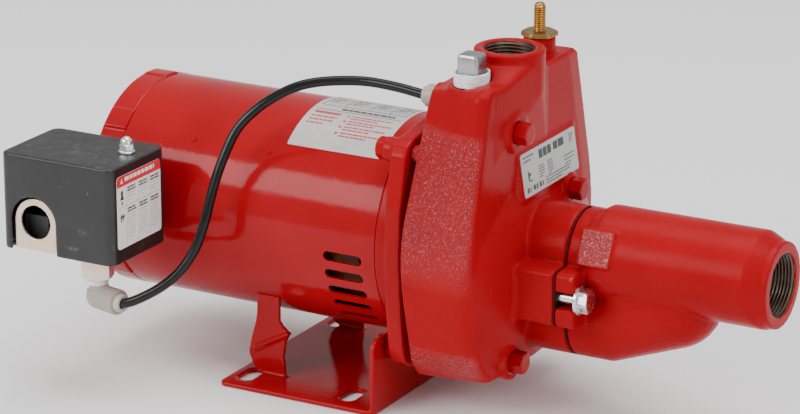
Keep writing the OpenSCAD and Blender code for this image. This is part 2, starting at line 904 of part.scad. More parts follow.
module casing() {
    skin = 2;
    bulge = [56, 127, 92];
    bulge_x = 95;
    bulge_z = 88;
    neck_z0 = 204;
    neck_z1 = 226;
    neck_low = 172;
    neck_y0 = -52;
    neck_w = 69;
    neck_top = 214;
    dome_reach = 16;
    prime_boss_r = 15.5;
    prime_boss_h = 35.5;
    prime_bore_r = 10.6;
    spot_face_r = 12.4;
    reg_boss_h = 40.3;
    reg_bore_r = 8;
    fit_boss_r = 9.5;
    fit_bore_r = 6.5;
    tall_boss_r = 8.8;
    throat_r = 26.7;
    return_r = 16;
    air_w = 76;
    air_z0 = 150;
    color(red)
        difference() {
            union() {
                hull() {
                    plate_x(casing_x1 - 1, casing_x1)
                        casing_front_outline(5, 13);
                    plate_x(casing_x1 - 1 - skin, casing_x1 - skin)
                        casing_front_outline(2, -3);
                    plate_x(casing_x1 - 4 * skin, casing_x1 - 3 * skin)
                        casing_front_outline(0, -3);
                    plate_x(casing_x0, casing_x0 + skin)
                        casing_rear_outline();
                }
                intersection() {
                    translate([bulge_x, 0, bulge_z])
                        scale(bulge)
                            sphere(r = 1, $fn = 96);
                    plate_x(casing_x1 - 3, casing_x1 + dome_reach)
                        casing_front_outline(4, 6);
                }
                hull() {
                    translate([discharge_x, 0, neck_z0])
                        cylinder(h = neck_z1 - neck_z0, r = discharge_boss_r - 0.3);
                    translate([casing_x1 - 6, neck_y0, neck_low])
                        cube([6.4, neck_w, neck_top - neck_low]);
                }
                translate([discharge_x, 0, neck_z0])
                    cylinder(h = discharge_z - neck_z0, r = discharge_boss_r);
                translate([prime_x, prime_y, prime_z - prime_boss_h])
                    cylinder(h = prime_boss_h, r = prime_boss_r);
                translate([reg_x, reg_y, reg_z - reg_boss_h])
                    cylinder(h = reg_boss_h, r = reg_boss_r);
                rod_x(fit_x, casing_x0 + 10, fit_boss_r, fit_y, fit_z);
                plug_boss(port_a);
                plug_boss(port_b);
                rod_x(casing_x1 - 6, casing_x1 + 9, tall_boss_r, port_b[0], port_b[1]);
                plug_boss(port_c);
                plate_x(casing_x1 - skin, pad_x)
                    ejector_outline();
                for (s = [-1, 1])
                    for (t = [-1, 1])
                        at_flange_bolt(s, t)
                            rod_x(flange_x1, bolt_boss_x1, bolt_boss_r);
                on_nameplate()
                    translate([-7, -pad_edge, -plate_h - pad_edge])
                        cube([7, plate_w + 2 * pad_edge, plate_h + 2 * pad_edge]);
            }
            translate([prime_x, prime_y, prime_z])
                cylinder(h = 20, r = spot_face_r);
            rod_x(casing_x0 - 1, seal_plate_x1, spigot_r + 0.1);
            rod_x(seal_plate_x1 - 1, chamber_x1, chamber_r);
            translate([seal_plate_x1 + 1, -air_w / 2, air_z0])
                cube([34, air_w, discharge_z - discharge_len - air_z0]);
            translate([discharge_x, 0, discharge_z - discharge_len - 0.1])
                cylinder(h = discharge_len + 1, r = discharge_r);
            translate([prime_x, prime_y, prime_z - 20.5])
                cylinder(h = 30, r = prime_bore_r);
            translate([reg_x, reg_y, reg_z - 62.3])
                cylinder(h = 70, r = reg_bore_r);
            rod_x(fit_x - 1, casing_x0 + 12, fit_bore_r, fit_y, fit_z);
            plug_hole(port_a);
            rod_x(casing_x1 - 12, casing_x1 + 12, plug_r, port_b[0], port_b[1]);
            plug_hole(port_c);
            rod_x(chamber_x1 - 1, chamber_x1 + 2, throat_r);
            rod_x(chamber_x1 - 1, pad_x + 1, suction_r);
            rod_x(chamber_x1 - 1, pad_x + 1, return_r, 0, return_z);
            for (s = [-1, 1]) {
                rod_x(pad_x - 20, pad_x + 1, flange_bolt_r, s * ej_bolt_y, ej_bolt_z);
                for (t = [-1, 1])
                    at_flange_bolt(s, t)
                        rod_x(flange_x1 - 1, bolt_end_x + 1, flange_bolt_r);
            }
        }
}

module flange_bolt(y, z, head_x) {
    union() {
        rod_x(head_x - 1, bolt_end_x, flange_bolt_r, y, z);
        hex_x(head_x - 5.3, head_x, 13, y, z);
    }
}

module flange_bolts() {
    color(red)
        for (s = [-1, 1]) {
            flange_bolt(s * flange_bolt_y, axis_z + flange_bolt_z, 62.5);
            flange_bolt(s * flange_bolt_y, axis_z - flange_bolt_z, base_web_x);
        }
}

module pipe_plug(p, x) {
    rod_x(x - 12, x + 1, plug_r, p[0], p[1]);
    hex_x(x, x + 8, plug_hex, p[0], p[1]);
}

module pipe_plugs() {
    color(red) {
        pipe_plug(port_a, casing_x1 + 4);
        pipe_plug(port_b, casing_x1 + 9);
        pipe_plug(port_c, casing_x1 + 4);
    }
}

module priming_plug() {
    head = 14.3;
    color(zinc)
        union() {
            translate([prime_x, prime_y, prime_z - 8])
                cylinder(h = 16, r = 10.5);
            translate([prime_x - head / 2, prime_y - head / 2, prime_z + 7])
                cube([head, head, 13.4]);
        }
}

module thread_tape() {
    color(white) {
        translate([prime_x, prime_y, prime_z])
            difference() {
                cylinder(h = 8.2, r = 11.3);
                translate([0, 0, -1])
                    cylinder(h = 11, r = 10.5);
            }
        translate([conn_x, conn_y, conn_z0 - line_tape_h])
            difference() {
                cylinder(h = line_tape_h, r = 6.9);
                translate([0, 0, -1])
                    cylinder(h = 6, r = 6.4);
            }
    }
}

module regulator_body() {
    color(brass)
        translate([reg_x, reg_y, 0])
            difference() {
                union() {
                    translate([0, 0, reg_z])
                        rotate(reg_hex_turn)
                            cylinder(h = reg_hex_t, r = reg_hex_r, $fn = 6);
                    translate([0, 0, reg_z - 22])
                        cylinder(h = 23, r = 8);
                }
                translate([0, 0, reg_z - 25])
                    cylinder(h = 35, r = reg_stem_r + 0.06);
            }
}

module regulator_stem() {
    color(brass)
        translate([reg_x, reg_y, reg_stem_z0])
            cylinder(h = reg_stem_top - reg_stem_z0, r = reg_stem_r);
}

module regulator_valve() {
    color(brass)
        translate([reg_x, reg_y, 176])
            difference() {
                union() {
                    cylinder(h = 5, r = 7);
                    cylinder(h = 13, r = 5.4);
                }
                translate([0, 0, 7.5])
                    cylinder(h = 10, r = reg_stem_r + 0.06);
            }
}

module pump_nameplate() {
    color(label_grey)
        on_nameplate()
            translate([0, 0, -plate_h])
                rotate([90, 0, 90])
                    linear_extrude(height = plate_t)
                        round_rect(plate_w, plate_h, 2);
}

// ---- ejector ----
module ejector_body() {
    chamber = 25;
    pillar_x = 246;
    pillar_r = 12;
    collar_x1 = 192;
    taper_x0 = 295;
    taper_x1 = 304;
    mouth_r = 27.6;
    keel_r = 34;
    keel_z = axis_z + 5.5;
    belly_x = 238;
    belly_z = 84;
    belly_r = 30;
    return_bore_r = 14;
    channel_r = 8.5;
    jet_bore_r = 8;
    bolt_slot_h = 11;
    bolt_slot_w = 14;
    color(red)
        difference() {
            union() {
                plate_x(ej_x0, ej_lug_x)
                    ejector_outline();
                rod_x(ej_x0, collar_x1, collar_r);
                cone_x(collar_x1 - 6, collar_x1, collar_r, ejector_r);
                intersection() {
                    union() {
                        rod_x(collar_x1, taper_x0, ejector_r);
                        cone_x(taper_x0, taper_x1, ejector_r, mouth_r + 0.8);
                    }
                    rod_x(collar_x1 - 1, taper_x1 + 1, keel_r, 0, keel_z);
                }
                rod_x(taper_x1 - 1, suction_x, mouth_r);
                hull($fn = 32) {
                    rod_x(ej_x0 + 10, 200, return_boss_r, 0, return_z);
                    translate([belly_x, 0, belly_z])
                        sphere(r = belly_r);
                }
                translate([196, 0, axis_z])
                    rotate([-25, 0, 0])
                        translate([-11, -34, -12])
                            cube([22, 8, 24]);
            }
            difference() {
                rod_x(ej_x0 - 1, suction_x - suction_len, chamber);
                translate([pillar_x, 0, return_z])
                    cylinder(h = axis_z - return_z + 5, r = pillar_r);
                rod_x(pillar_x - 12, pillar_x + 14, pillar_r + 2);
            }
            rod_x(suction_x - suction_len, suction_x + 1, suction_r);
            rod_x(ej_x0 - 1, 210, return_bore_r, 0, return_z);
            rod_x(205, pillar_x, channel_r, 0, return_z + 4);
            translate([pillar_x, 0, return_z + 4])
                cylinder(h = axis_z - return_z - 4, r = jet_bore_r);
            rod_x(pillar_x - 13, pillar_x + 5, jet_bore_r);
            for (s = [-1, 1])
                translate([ej_x0 - 1, s * (ej_bolt_y + 2) - bolt_slot_w / 2, ej_bolt_z - bolt_slot_h / 2])
                    cube([ej_lug_x - ej_x0 + 2, bolt_slot_w, bolt_slot_h]);
        }
}

module ejector_gasket() {
    color(black)
        plate_x(pad_x, ej_x0)
            difference() {
                ejector_outline();
                translate([0, axis_z])
                    circle(r = 23);
                translate([0, return_z])
                    circle(r = 16);
                for (s = [-1, 1])
                    translate([s * ej_bolt_y, ej_bolt_z])
                        circle(r = flange_bolt_r + 0.3);
            }
}

module ejector_bolts() {
    color(zinc)
        for (s = [-1, 1])
            union() {
                rod_x(pad_x - 18, ej_lug_x + 2, flange_bolt_r, s * ej_bolt_y, ej_bolt_z);
                rod_x(ej_lug_x, ej_lug_x + 2.2, 9.5, s * ej_bolt_y, ej_bolt_z);
                hex_x(ej_lug_x + 2, ej_lug_x + 8.5, 14.3, s * ej_bolt_y, ej_bolt_z);
            }
}

module venturi() {
    color(plastic)
        difference() {
            union() {
                rod_x(134, 205, 12.5);
                cone_x(205, 224, 12.5, 15);
                rod_x(160, ej_x0 + 2, suction_r - 0.1);
            }
            cone_x(133, 200, 10.5, 6);
            rod_x(199, 206, 6);
            cone_x(205, 225, 6, 13);
        }
}

module nozzle() {
    color(brass)
        difference() {
            union() {
                rod_x(233, 238, 8);
                hex_x(226, 234, 18, 0, axis_z);
                cone_x(214, 226.5, 5, 7.5);
            }
            rod_x(228, 239, 5.5);
            cone_x(213, 228.5, 2.8, 5.5);
        }
}

// ---- pressure line ----
module straight_fitting() {
    body_r = 7.4;
    collet_r = 5.6;
    thread_r = 6.5;
    color(grey)
        difference() {
            union() {
                rod_x(fit_x - 7, fit_x, body_r, fit_y, fit_z);
                rod_x(fit_x - 9, fit_x - 6.5, collet_r, fit_y, fit_z);
                rod_x(fit_x - 1, fit_x + 9, thread_r, fit_y, fit_z);
            }
            rod_x(fit_x - 13, fit_x + 10, tube_r, fit_y, fit_z);
        }
}

module pressure_tube() {
    color(black)
        sweep(tube_path, tube_r, 10, [0, 1, 0]);
}

module elbow_fitting() {
    corner_r = 8.6;
    stem_r = 6.3;
    stem_len = 18;
    arm_r = 8.2;
    arm_len = 19;
    collet_r = 5.8;
    color(grey)
        translate([elbow_x, conn_y, elbow_z])
            difference() {
                union() {
                    sphere(r = corner_r);
                    translate([conn_x - elbow_x, 0, 0])
                        cylinder(h = stem_len, r = stem_r);
                    rotate([0, 0, elbow_turn])
                        rotate([0, 90, 0]) {
                            cylinder(h = arm_len, r = arm_r);
                            cylinder(h = arm_len + 4, r = collet_r);
                        }
                }
                rotate([0, 0, elbow_turn])
                    rotate([0, 90, 0])
                        translate([0, 0, -3])
                            cylinder(h = 30, r = tube_r + 0.2);
                cylinder(h = 30, r = 2.4);
            }
}

// ---- pressure switch ----
module arch(x, z, r) {
    union() {
        translate([x, z])
            circle(r = r);
        translate([x - r, sw_bottom - 2])
            square([2 * r, z - sw_bottom + 2]);
    }
}

module plate_y(y0, y1) {
    translate([0, y1, 0])
        rotate([90, 0, 0])
            linear_extrude(height = y1 - y0)
                children();
}

module switch_base() {
    floor_t = 2.5;
    zb = sw_bottom + 1;
    ear_r = 15.8;
    post_r = 2.4;
    range_post_h = 52;
    bracket = [4, 2, 18];
    bracket_x = -142;
    color(zinc)
        difference() {
            union() {
                translate([sw_x0 + 4, sw_y0 + 3, zb])
                    cube([sw_len - 8, sw_depth - 6, floor_t]);
                intersection() {
                    plate_y(sw_y0 + 2.6, sw_y0 + 4.8)
                        arch(conduit_x, conduit_z, ear_r);
                    translate([sw_x0, sw_y0, zb])
                        cube([sw_len, sw_depth, 60]);
                }
                intersection() {
                    plate_y(sw_y1 - 4.8, sw_y1 - 2.6)
                        arch(nipple_x, nipple_z, ear_r);
                    translate([sw_x0, sw_y0, zb])
                        cube([sw_len, sw_depth, 60]);
                }
                translate([post_x, post_y, zb])
                    cylinder(h = sw_top + 6 - zb, r = post_r);
                translate([range_x, range_y, zb])
                    cylinder(h = range_post_h, r = 2.5);
                for (y = [-131, -107])
                    translate([bracket_x, y, zb])
                        cube(bracket);
            }
            translate([conduit_x, sw_y0, conduit_z])
                rotate([-90, 0, 0])
                    cylinder(h = 8, r = conduit_r);
            translate([nipple_x, sw_y1 - 8, nipple_z])
                rotate([-90, 0, 0])
                    cylinder(h = 12, r = nipple_r + 0.1);
            translate([conn_x, conn_y, zb - 1])
                cylinder(h = 5, r = 12);
        }
}

module switch_cover() {
    color(plastic)
        difference() {
            translate([sw_x0, sw_y0, sw_bottom])
                linear_extrude(height = sw_top - sw_bottom)
                    round_rect(sw_len, sw_depth, sw_corner);
            translate([sw_x0 + sw_wall, sw_y0 + sw_wall, sw_bottom - 1])
                linear_extrude(height = sw_top - sw_bottom - sw_wall + 1)
                    round_rect(sw_len - 2 * sw_wall, sw_depth - 2 * sw_wall, sw_corner - sw_wall);
            plate_y(sw_y0 - 1, sw_y0 + sw_wall + 1)
                arch(conduit_x, conduit_z, 17);
            plate_y(sw_y1 - sw_wall - 1, sw_y1 + 1)
                arch(nipple_x, nipple_z, 17);
            translate([post_x, post_y, sw_top - 5])
                cylinder(h = 10, r = 2.7);
        }
}

module cover_nut() {
    color(zinc)
        translate([post_x, post_y, sw_top])
            difference() {
                union() {
                    cylinder(h = 1.4, r = 5.4);
                    cylinder(h = 5.5, r = 4.9, $fn = 6);
                    translate([0, 0, 5.4])
                        cylinder(h = 2, r = 4);
                    translate([0, 0, 7.2])
                        sphere(r = 4);
                }
                translate([0, 0, -1])
                    cylinder(h = 8, r = 2.4);
            }
}

module switch_label() {
    color(white)
        plate_x(sw_x1, sw_x1 + 0.3)
            translate([sw_y0 + 6, 103])
                round_rect(50, 48, 2);
}

module pressure_connector() {
    housing_z = 89.5;
    housing_r = 23;
    port_r = 3;
    color(zinc)
        translate([conn_x, conn_y, 0])
            difference() {
                union() {
                    translate([0, 0, housing_z])
                        cylinder(h = 94 - housing_z, r = housing_r);
                    translate([0, 0, conn_z0])
                        rotate(15)
                            cylinder(h = 90 - conn_z0, r = 10.9, $fn = 6);
                }
                translate([0, 0, 67])
                    cylinder(h = 12, r = 6.4);
                translate([0, 0, 67])
                    cylinder(h = 28, r = port_r);
                translate([0, 0, housing_z + 2])
                    cylinder(h = 3, r = housing_r - 5);
            }
}

module diaphragm() {
    color(black)
        translate([conn_x, conn_y, 0])
            union() {
                translate([0, 0, 91.8])
                    cylinder(h = 1.2, r = 11.5);
                translate([0, 0, 92])
                    cylinder(h = lever_z - 92.3, r = 3);
            }
}

module switch_lever() {
    color(zinc)
        difference() {
            union() {
                translate([-140, -128, lever_z])
                    cube([42, 20, 1.6]);
                translate([-140, -128.7, lever_z + 0.8])
                    rotate([-90, 0, 0])
                        cylinder(h = 21.4, r = 1.8);
            }
            translate([range_x, range_y, lever_z - 3])
                cylinder(h = 8, r = 4);
        }
}

module range_spring() {
    color(steel)
        translate([range_x, range_y, lever_z + 2.8])
            coil(6.6, 0.9, 4.2, 6);
}

module range_nut() {
    color(zinc)
        translate([range_x, range_y, lever_z + 29])
            difference() {
                union() {
                    cylinder(h = 5, r = 5.8, $fn = 6);
                    cylinder(h = 1, r = 8);
                }
                translate([0, 0, -1])
                    cylinder(h = 8, r = 2.5);
            }
}

module contact_block() {
    color(black)
        difference() {
            translate([-162, -130, sw_bottom + 3.5])
                cube([18, 44, 18]);
            for (y = [-124 : 10.5 : -92])
                translate([-160, y, sw_bottom + 12])
                    cube([14, 6, 12]);
        }
}

module conduit_nipple() {
    color(zinc)
        translate([nipple_x, sw_y1 - 12, nipple_z])
            rotate([-90, 0, 0])
                difference() {
                    cylinder(h = 32, r = nipple_r);
                    translate([0, 0, -1])
                        cylinder(h = 34, r = 8.6);
                }
}

module nipple_locknuts() {
    color(zinc)
        for (y = [sw_y1 - 7.8, sw_y1 + 0.2, -62])
            translate([nipple_x, y, nipple_z])
                rotate([-90, 30, 0])
                    difference() {
                        cylinder(h = 3, r = 13.4, $fn = 6);
                        translate([0, 0, -1])
                            cylinder(h = 5, r = nipple_r);
                    }
}

base_stand();
motor_shell();
drive_end_bell();
rear_end_bell();
rear_cover();
cover_screws();
stator_core();
stator_windings();
thermal_protector();
start_capacitor();
terminal_board();
start_switch_board();
switch_leaf();
through_bolts();
motor_label();
motor_shaft();
rotor_core();
rotor_cage();
governor_hub();
governor_collar();
bearing_outer_rings();
bearing_inner_rings();
bearing_balls();
slinger();
seal_plate();
casing_oring();
seal_seat();
seal_head();
seal_spring();
impeller();
diffuser();
casing();
flange_bolts();
pipe_plugs();
priming_plug();
thread_tape();
regulator_body();
regulator_stem();
regulator_valve();
pump_nameplate();
ejector_body();
ejector_gasket();
ejector_bolts();
venturi();
nozzle();
straight_fitting();
pressure_tube();
elbow_fitting();
switch_base();
switch_cover();
cover_nut();
switch_label();
pressure_connector();
diaphragm();
switch_lever();
range_spring();
range_nut();
contact_block();
conduit_nipple();
nipple_locknuts();
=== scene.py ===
"""Looks of the jet pump: camera, tube, materials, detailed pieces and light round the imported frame."""
import math
import random

import bpy
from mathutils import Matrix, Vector


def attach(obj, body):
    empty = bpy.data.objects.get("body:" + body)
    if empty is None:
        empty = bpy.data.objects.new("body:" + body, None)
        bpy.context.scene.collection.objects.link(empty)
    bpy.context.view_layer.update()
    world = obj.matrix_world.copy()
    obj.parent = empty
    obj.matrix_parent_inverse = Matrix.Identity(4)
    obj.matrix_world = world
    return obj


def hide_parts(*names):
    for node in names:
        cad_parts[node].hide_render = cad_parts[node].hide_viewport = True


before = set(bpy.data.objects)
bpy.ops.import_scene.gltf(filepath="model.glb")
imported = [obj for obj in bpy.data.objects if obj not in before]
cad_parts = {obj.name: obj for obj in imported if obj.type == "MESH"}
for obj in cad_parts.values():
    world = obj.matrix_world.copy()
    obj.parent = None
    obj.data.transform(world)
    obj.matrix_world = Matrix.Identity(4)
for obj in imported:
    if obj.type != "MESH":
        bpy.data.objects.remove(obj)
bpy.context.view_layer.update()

MM = 0.001
AXIS_Z = 106
SUCTION_X = 309
DISCHARGE = (119.5, 0, 232)
PRIMING = (113, -38, 215.5)
REGULATOR = (121, 38, 230.3)
CONNECTOR = (-120, -111)
ELBOW = (-119.5, -111, 59.5)
ELBOW_TURN = math.radians(-14)
TUBE_R = 3.175
FITTING = (84.5, -30, 202)
FLANGE_BOLT_Y = 55.2
FLANGE_BOLT_Z = 65.5
EJECTOR_BOLT = (188.5, 37, 87.3)
COVER_POST = (-100, -104, 157.5)
X_AXIS = (1, 0, 0)
Z_AXIS = (0, 0, 1)
random.seed(11)


# ---- camera ----
def make_camera():
    azimuth, elevation, distance = math.radians(29.17), math.radians(18.19), 2.2714
    target = Vector((0.04093, 0.0, 0.1137))
    view = Vector((-math.sin(azimuth) * math.cos(elevation),
                   math.cos(azimuth) * math.cos(elevation), -math.sin(elevation)))
    data = bpy.data.cameras.new("camera")
    data.lens = 158.3
    data.sensor_width = 36
    cam = bpy.data.objects.new("camera", data)
    bpy.context.scene.collection.objects.link(cam)
    cam.location = target - view * distance
    cam.rotation_euler = view.to_track_quat("-Z", "Y").to_euler()
    bpy.context.scene.camera = cam


make_camera()

# ---- pressure tube, the one free hose ----
TUBE_ROUTE = [
    (80, -30, 202), (74, -30, 202), (56, -30, 204), (36, -31, 205), (20, -35, 204.5), (5, -41, 203),
    (-7, -48, 200), (-18, -56, 194), (-28, -63, 186), (-38, -71, 173), (-44, -80, 153), (-47, -87, 135),
    (-49, -93, 117), (-53, -98, 100), (-60, -104, 86), (-69, -109, 76), (-81, -114, 67.5),
    (-94, -117, 61), (-104, -114.9, 59.5)]


def spline_points(route, steps):
    """Points on the smooth curve that passes through every point of the route."""
    at = lambda i: Vector(route[min(max(i, 0), len(route) - 1)])
    points = []
    for i in range(len(route) - 1):
        a, b, c, d = at(i - 1), at(i), at(i + 1), at(i + 2)
        for k in range(steps):
            t = k / steps
            points.append(0.5 * (2 * b + (c - a) * t + (2 * a - 5 * b + 4 * c - d) * t ** 2
                                 + (3 * b - a - 3 * c + d) * t ** 3))
    return points + [at(len(route) - 1)]


def make_tube():
    points = spline_points(TUBE_ROUTE, 8)
    curve = bpy.data.curves.new("tube", "CURVE")
    curve.dimensions = "3D"
    curve.bevel_depth = 1.0
    curve.bevel_resolution = 12
    curve.use_fill_caps = True
    line = curve.splines.new("POLY")
    line.points.add(len(points) - 1)
    for spot, p in zip(line.points, points):
        spot.co = (p.x * MM, p.y * MM, p.z * MM, 1)
        spot.radius = TUBE_R * MM
    line.use_smooth = True
    tube = bpy.data.objects.new("tube", curve)
    bpy.context.scene.collection.objects.link(tube)
    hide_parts("pressure_tube")
    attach(tube, "housing")
    return tube


tube = make_tube()


# ---- shader helper ----
class Paint:
    """A procedural material on one Principled shader, with sockets named as in Blender."""

    def __init__(self, name, colour, roughness, metallic=0.0, **uniform):
        self.material = bpy.data.materials.new(name)
        self.material.use_nodes = True
        self.tree = self.material.node_tree
        self.shader = self.tree.nodes["Principled BSDF"]
        self.set("Base Color", (*colour, 1))
        self.set("Roughness", roughness)
        self.set("Metallic", metallic)
        for socket, value in uniform.items():
            self.set(socket.replace("_", " "), value)
        self.place = self.tree.nodes.new("ShaderNodeTexCoord").outputs["Object"]

    def set(self, socket, value):
        self.shader.inputs[socket].default_value = value

    def feed(self, target, value):
        if isinstance(value, bpy.types.NodeSocket):
            self.tree.links.new(value, target)
        else:
            target.default_value = value

    def link(self, socket, value):
        self.feed(self.shader.inputs[socket], value)

    def noise(self, scale, detail=2.0, rough=0.5, stretch=None):
        node = self.tree.nodes.new("ShaderNodeTexNoise")
        node.inputs["Scale"].default_value = scale
        node.inputs["Detail"].default_value = detail
        node.inputs["Roughness"].default_value = rough
        self.feed(node.inputs["Vector"], self.stretched(stretch) if stretch else self.place)
        return node.outputs["Fac"]

    def stretched(self, stretch):
        node = self.tree.nodes.new("ShaderNodeMapping")
        node.inputs["Scale"].default_value = stretch
        self.feed(node.inputs["Vector"], self.place)
        return node.outputs["Vector"]

    def axis(self, name):
        node = self.tree.nodes.new("ShaderNodeSeparateXYZ")
        self.feed(node.inputs[0], self.place)
        return node.outputs[name]

    def facing(self, name):
        """How far the surface faces along an axis, from the true normal."""
        geometry = self.tree.nodes.new("ShaderNodeNewGeometry")
        node = self.tree.nodes.new("ShaderNodeSeparateXYZ")
        self.feed(node.inputs[0], geometry.outputs["Normal"])
        return node.outputs[name]

    def span(self, value, low, high, out_low=0.0, out_high=1.0):
        node = self.tree.nodes.new("ShaderNodeMapRange")
        self.feed(node.inputs["Value"], value)
        for socket, number in zip(("From Min", "From Max", "To Min", "To Max"), (low, high, out_low, out_high)):
            node.inputs[socket].default_value = number
        return node.outputs["Result"]

    def math(self, operation, a, b=0.0):
        node = self.tree.nodes.new("ShaderNodeMath")
        node.operation = operation
        self.feed(node.inputs[0], a)
        self.feed(node.inputs[1], b)
        return node.outputs[0]

    def blend(self, amount, a, b):
        node = self.tree.nodes.new("ShaderNodeMix")
        node.data_type = "RGBA"
        self.feed(node.inputs["Factor"], amount)
        for socket, value in ((node.inputs[6], a), (node.inputs[7], b)):
            self.feed(socket, value if isinstance(value, bpy.types.NodeSocket) else (*value, 1))
        return node.outputs[2]

    def bump(self, height, distance, strength=1.0, under=None):
        node = self.tree.nodes.new("ShaderNodeBump")
        self.feed(node.inputs["Height"], height)
        self.feed(node.inputs["Strength"], strength)
        node.inputs["Distance"].default_value = distance
        if under is not None:
            self.feed(node.inputs["Normal"], under)
        return node.outputs["Normal"]


# ---- materials ----
RED = (0.36, 0.0040, 0.0090)
RED_DEEP = (0.31, 0.0030, 0.0070)
# Lighter pink painted on the peaks of the sand grain: a painted glint that stands in for highlights.
RED_PAINTED_GLINT = (0.62, 0.15, 0.155)


def enamel(name, gloss=(0.09, 0.15), shine=0.16, grain=0.0, grain_scale=900.0, sanded=False, glint_paint=0.0):
    """Red enamel: thin orange peel everywhere, sand grain showing through on castings; when asked, lighter pink specks
    are painted on the grain peaks as painted glints.
    """
    p = Paint(name, RED, gloss[1], Specular_IOR_Level=shine)
    colour = p.blend(p.span(p.noise(14, 3), 0.35, 0.65), RED_DEEP, RED)
    roughness = p.span(p.noise(70, 3), 0.3, 0.7, *gloss)
    skin = p.bump(p.noise(260, 2), 0.00022, 0.35)
    if grain:
        height = p.math("ADD", p.noise(grain_scale, 3, 0.6), p.math("MULTIPLY", p.noise(grain_scale / 3, 2), 0.8))
        amount = grain
        if sanded:
            side = p.span(p.facing("Y"), -0.45, -0.85)
            near = p.span(p.axis("X"), 0.141, 0.137)
            band = p.math("MULTIPLY", p.span(p.axis("Z"), 0.092, 0.122), p.span(p.axis("Z"), 0.193, 0.186))
            foot = p.math("MULTIPLY", p.span(p.axis("Z"), 0.052, 0.047), p.span(p.axis("Z"), 0.032, 0.036))
            patch = p.math("MULTIPLY", p.math("MULTIPLY", side, near), p.math("ADD", band, foot))
            amount = p.math("ADD", p.math("MULTIPLY", patch, 0.93), grain)
            roughness = p.math("SUBTRACT", roughness, p.math("MULTIPLY", patch, 0.14))
            p.link("Specular IOR Level", p.span(patch, 0.0, 1.0, shine, 0.3))
        # Painted glints: a lighter pink colour on the noise peaks stands in for highlights. On castings it is limited
        # to the sanded patch.
        if glint_paint:
            glint_specks = p.math("MULTIPLY", p.span(p.noise(grain_scale * 0.95, 2, 0.6), 0.55, 0.66), glint_paint)
            colour = p.blend(p.math("MULTIPLY", glint_specks, patch) if sanded else glint_specks, colour, RED_PAINTED_GLINT)
        skin = p.bump(height, 0.0016, amount, skin)
    p.link("Base Color", colour)
    p.link("Roughness", roughness)
    p.link("Normal", skin)
    return p.material


def plated(name, tone, warm, roughness, streak=160.0):
    """Bright or passivated zinc plate with faint drawn streaks."""
    p = Paint(name, tone, roughness, 1.0)
    p.link("Base Color", p.blend(p.span(p.noise(streak, 3), 0.35, 0.65), tone, warm))
    p.link("Roughness", p.span(p.noise(420, 3, 0.6, (1, 1, 4)), 0.3, 0.7, roughness - 0.07, roughness + 0.1))
    p.link("Normal", p.bump(p.noise(500, 2), 0.00004, 0.15))
    return p.material


def chromate():
    """Yellow passivated zinc, drifting between straw and pink."""
    p = Paint("yellow_zinc", (0.78, 0.66, 0.45), 0.32, 0.85)
    tint = p.blend(p.span(p.noise(38, 2), 0.4, 0.62), (0.80, 0.62, 0.40), (0.80, 0.60, 0.56))
    p.link("Base Color", p.blend(p.span(p.noise(90, 3), 0.45, 0.75), tint, (0.80, 0.76, 0.66)))
    p.link("Roughness", p.span(p.noise(300, 3), 0.3, 0.7, 0.26, 0.42))
    p.link("Normal", p.bump(p.noise(500, 2), 0.00005, 0.5))
    return p.material


def moulded(name, tone, roughness, grain_scale, depth, speck=None, **uniform):
    """Moulded plastic or rubber with its own fine grain."""
    p = Paint(name, tone, roughness, **uniform)
    lighter = tuple(min(1.0, c * 1.25 + 0.004) for c in tone)
    colour = p.blend(p.span(p.noise(45, 3), 0.4, 0.8), tone, lighter)
    if speck:
        scuff = p.span(p.noise(55, 5, 0.75, (1, 1, 2.5)), 0.59, 0.70)
        scratch = p.span(p.noise(900, 2, 0.6, (3, 1, 0.25)), 0.52, 0.6)
        colour = p.blend(p.math("MULTIPLY", p.math("MULTIPLY", scuff, scratch), 0.55), colour, speck)
    p.link("Base Color", colour)
    p.link("Roughness", p.span(p.noise(120, 3), 0.3, 0.7, roughness - 0.06, roughness + 0.08))
    p.link("Normal", p.bump(p.noise(grain_scale, 2), depth, 0.6))
    return p.material


def turned_metal(name, tone, dark, roughness, axis="X", pitch=900.0):
    """Machined metal with fine tool marks round an axis and a little tarnish."""
    p = Paint(name, tone, roughness, 1.0)
    p.link("Base Color", p.blend(p.span(p.noise(60, 4, 0.6), 0.45, 0.75), tone, dark))
    wave = p.tree.nodes.new("ShaderNodeTexWave")
    wave.bands_direction = axis
    wave.inputs["Scale"].default_value = pitch
    wave.inputs["Distortion"].default_value = 1.5
    p.feed(wave.inputs["Vector"], p.place)
    p.link("Roughness", p.span(p.noise(200, 3), 0.3, 0.7, roughness - 0.06, roughness + 0.1))
    p.link("Normal", p.bump(wave.outputs["Fac"], 0.00004, 0.4))
    return p.material


def laminated(name, tone, dark, roughness, metallic, pitch, axis="X", depth=0.0001):
    """Stacked sheets or wound wire: fine ridges across an axis with a darker line between them."""
    p = Paint(name, tone, roughness, metallic)
    wave = p.tree.nodes.new("ShaderNodeTexWave")
    wave.bands_direction = axis
    wave.inputs["Scale"].default_value = pitch
    wave.inputs["Distortion"].default_value = 0.6
    p.feed(wave.inputs["Vector"], p.place)
    p.link("Base Color", p.blend(p.math("MULTIPLY", wave.outputs["Fac"], p.span(p.noise(50), 0.2, 0.8, 0.6, 1)), dark, tone))
    p.link("Normal", p.bump(wave.outputs["Fac"], depth, 0.7))
    return p.material


def foil(name, tone, roughness, metallic):
    """Printed label stock: faint brushed foil or satin vinyl."""
    p = Paint(name, tone, roughness, metallic)
    deeper = tuple(c * 0.9 for c in tone)
    p.link("Base Color", p.blend(p.span(p.noise(500, 2, 0.5, (0.15, 1, 1)), 0.35, 0.65), deeper, tone))
    p.link("Normal", p.bump(p.noise(160, 2), 0.00006, 0.4))
    return p.material


def ink(name, tone):
    p = Paint(name, tone, 0.45)
    lighter = tuple(min(1.0, c + 0.05) for c in tone)
    p.link("Base Color", p.blend(p.span(p.noise(900, 2), 0.4, 0.7), tone, lighter))
    return p.material


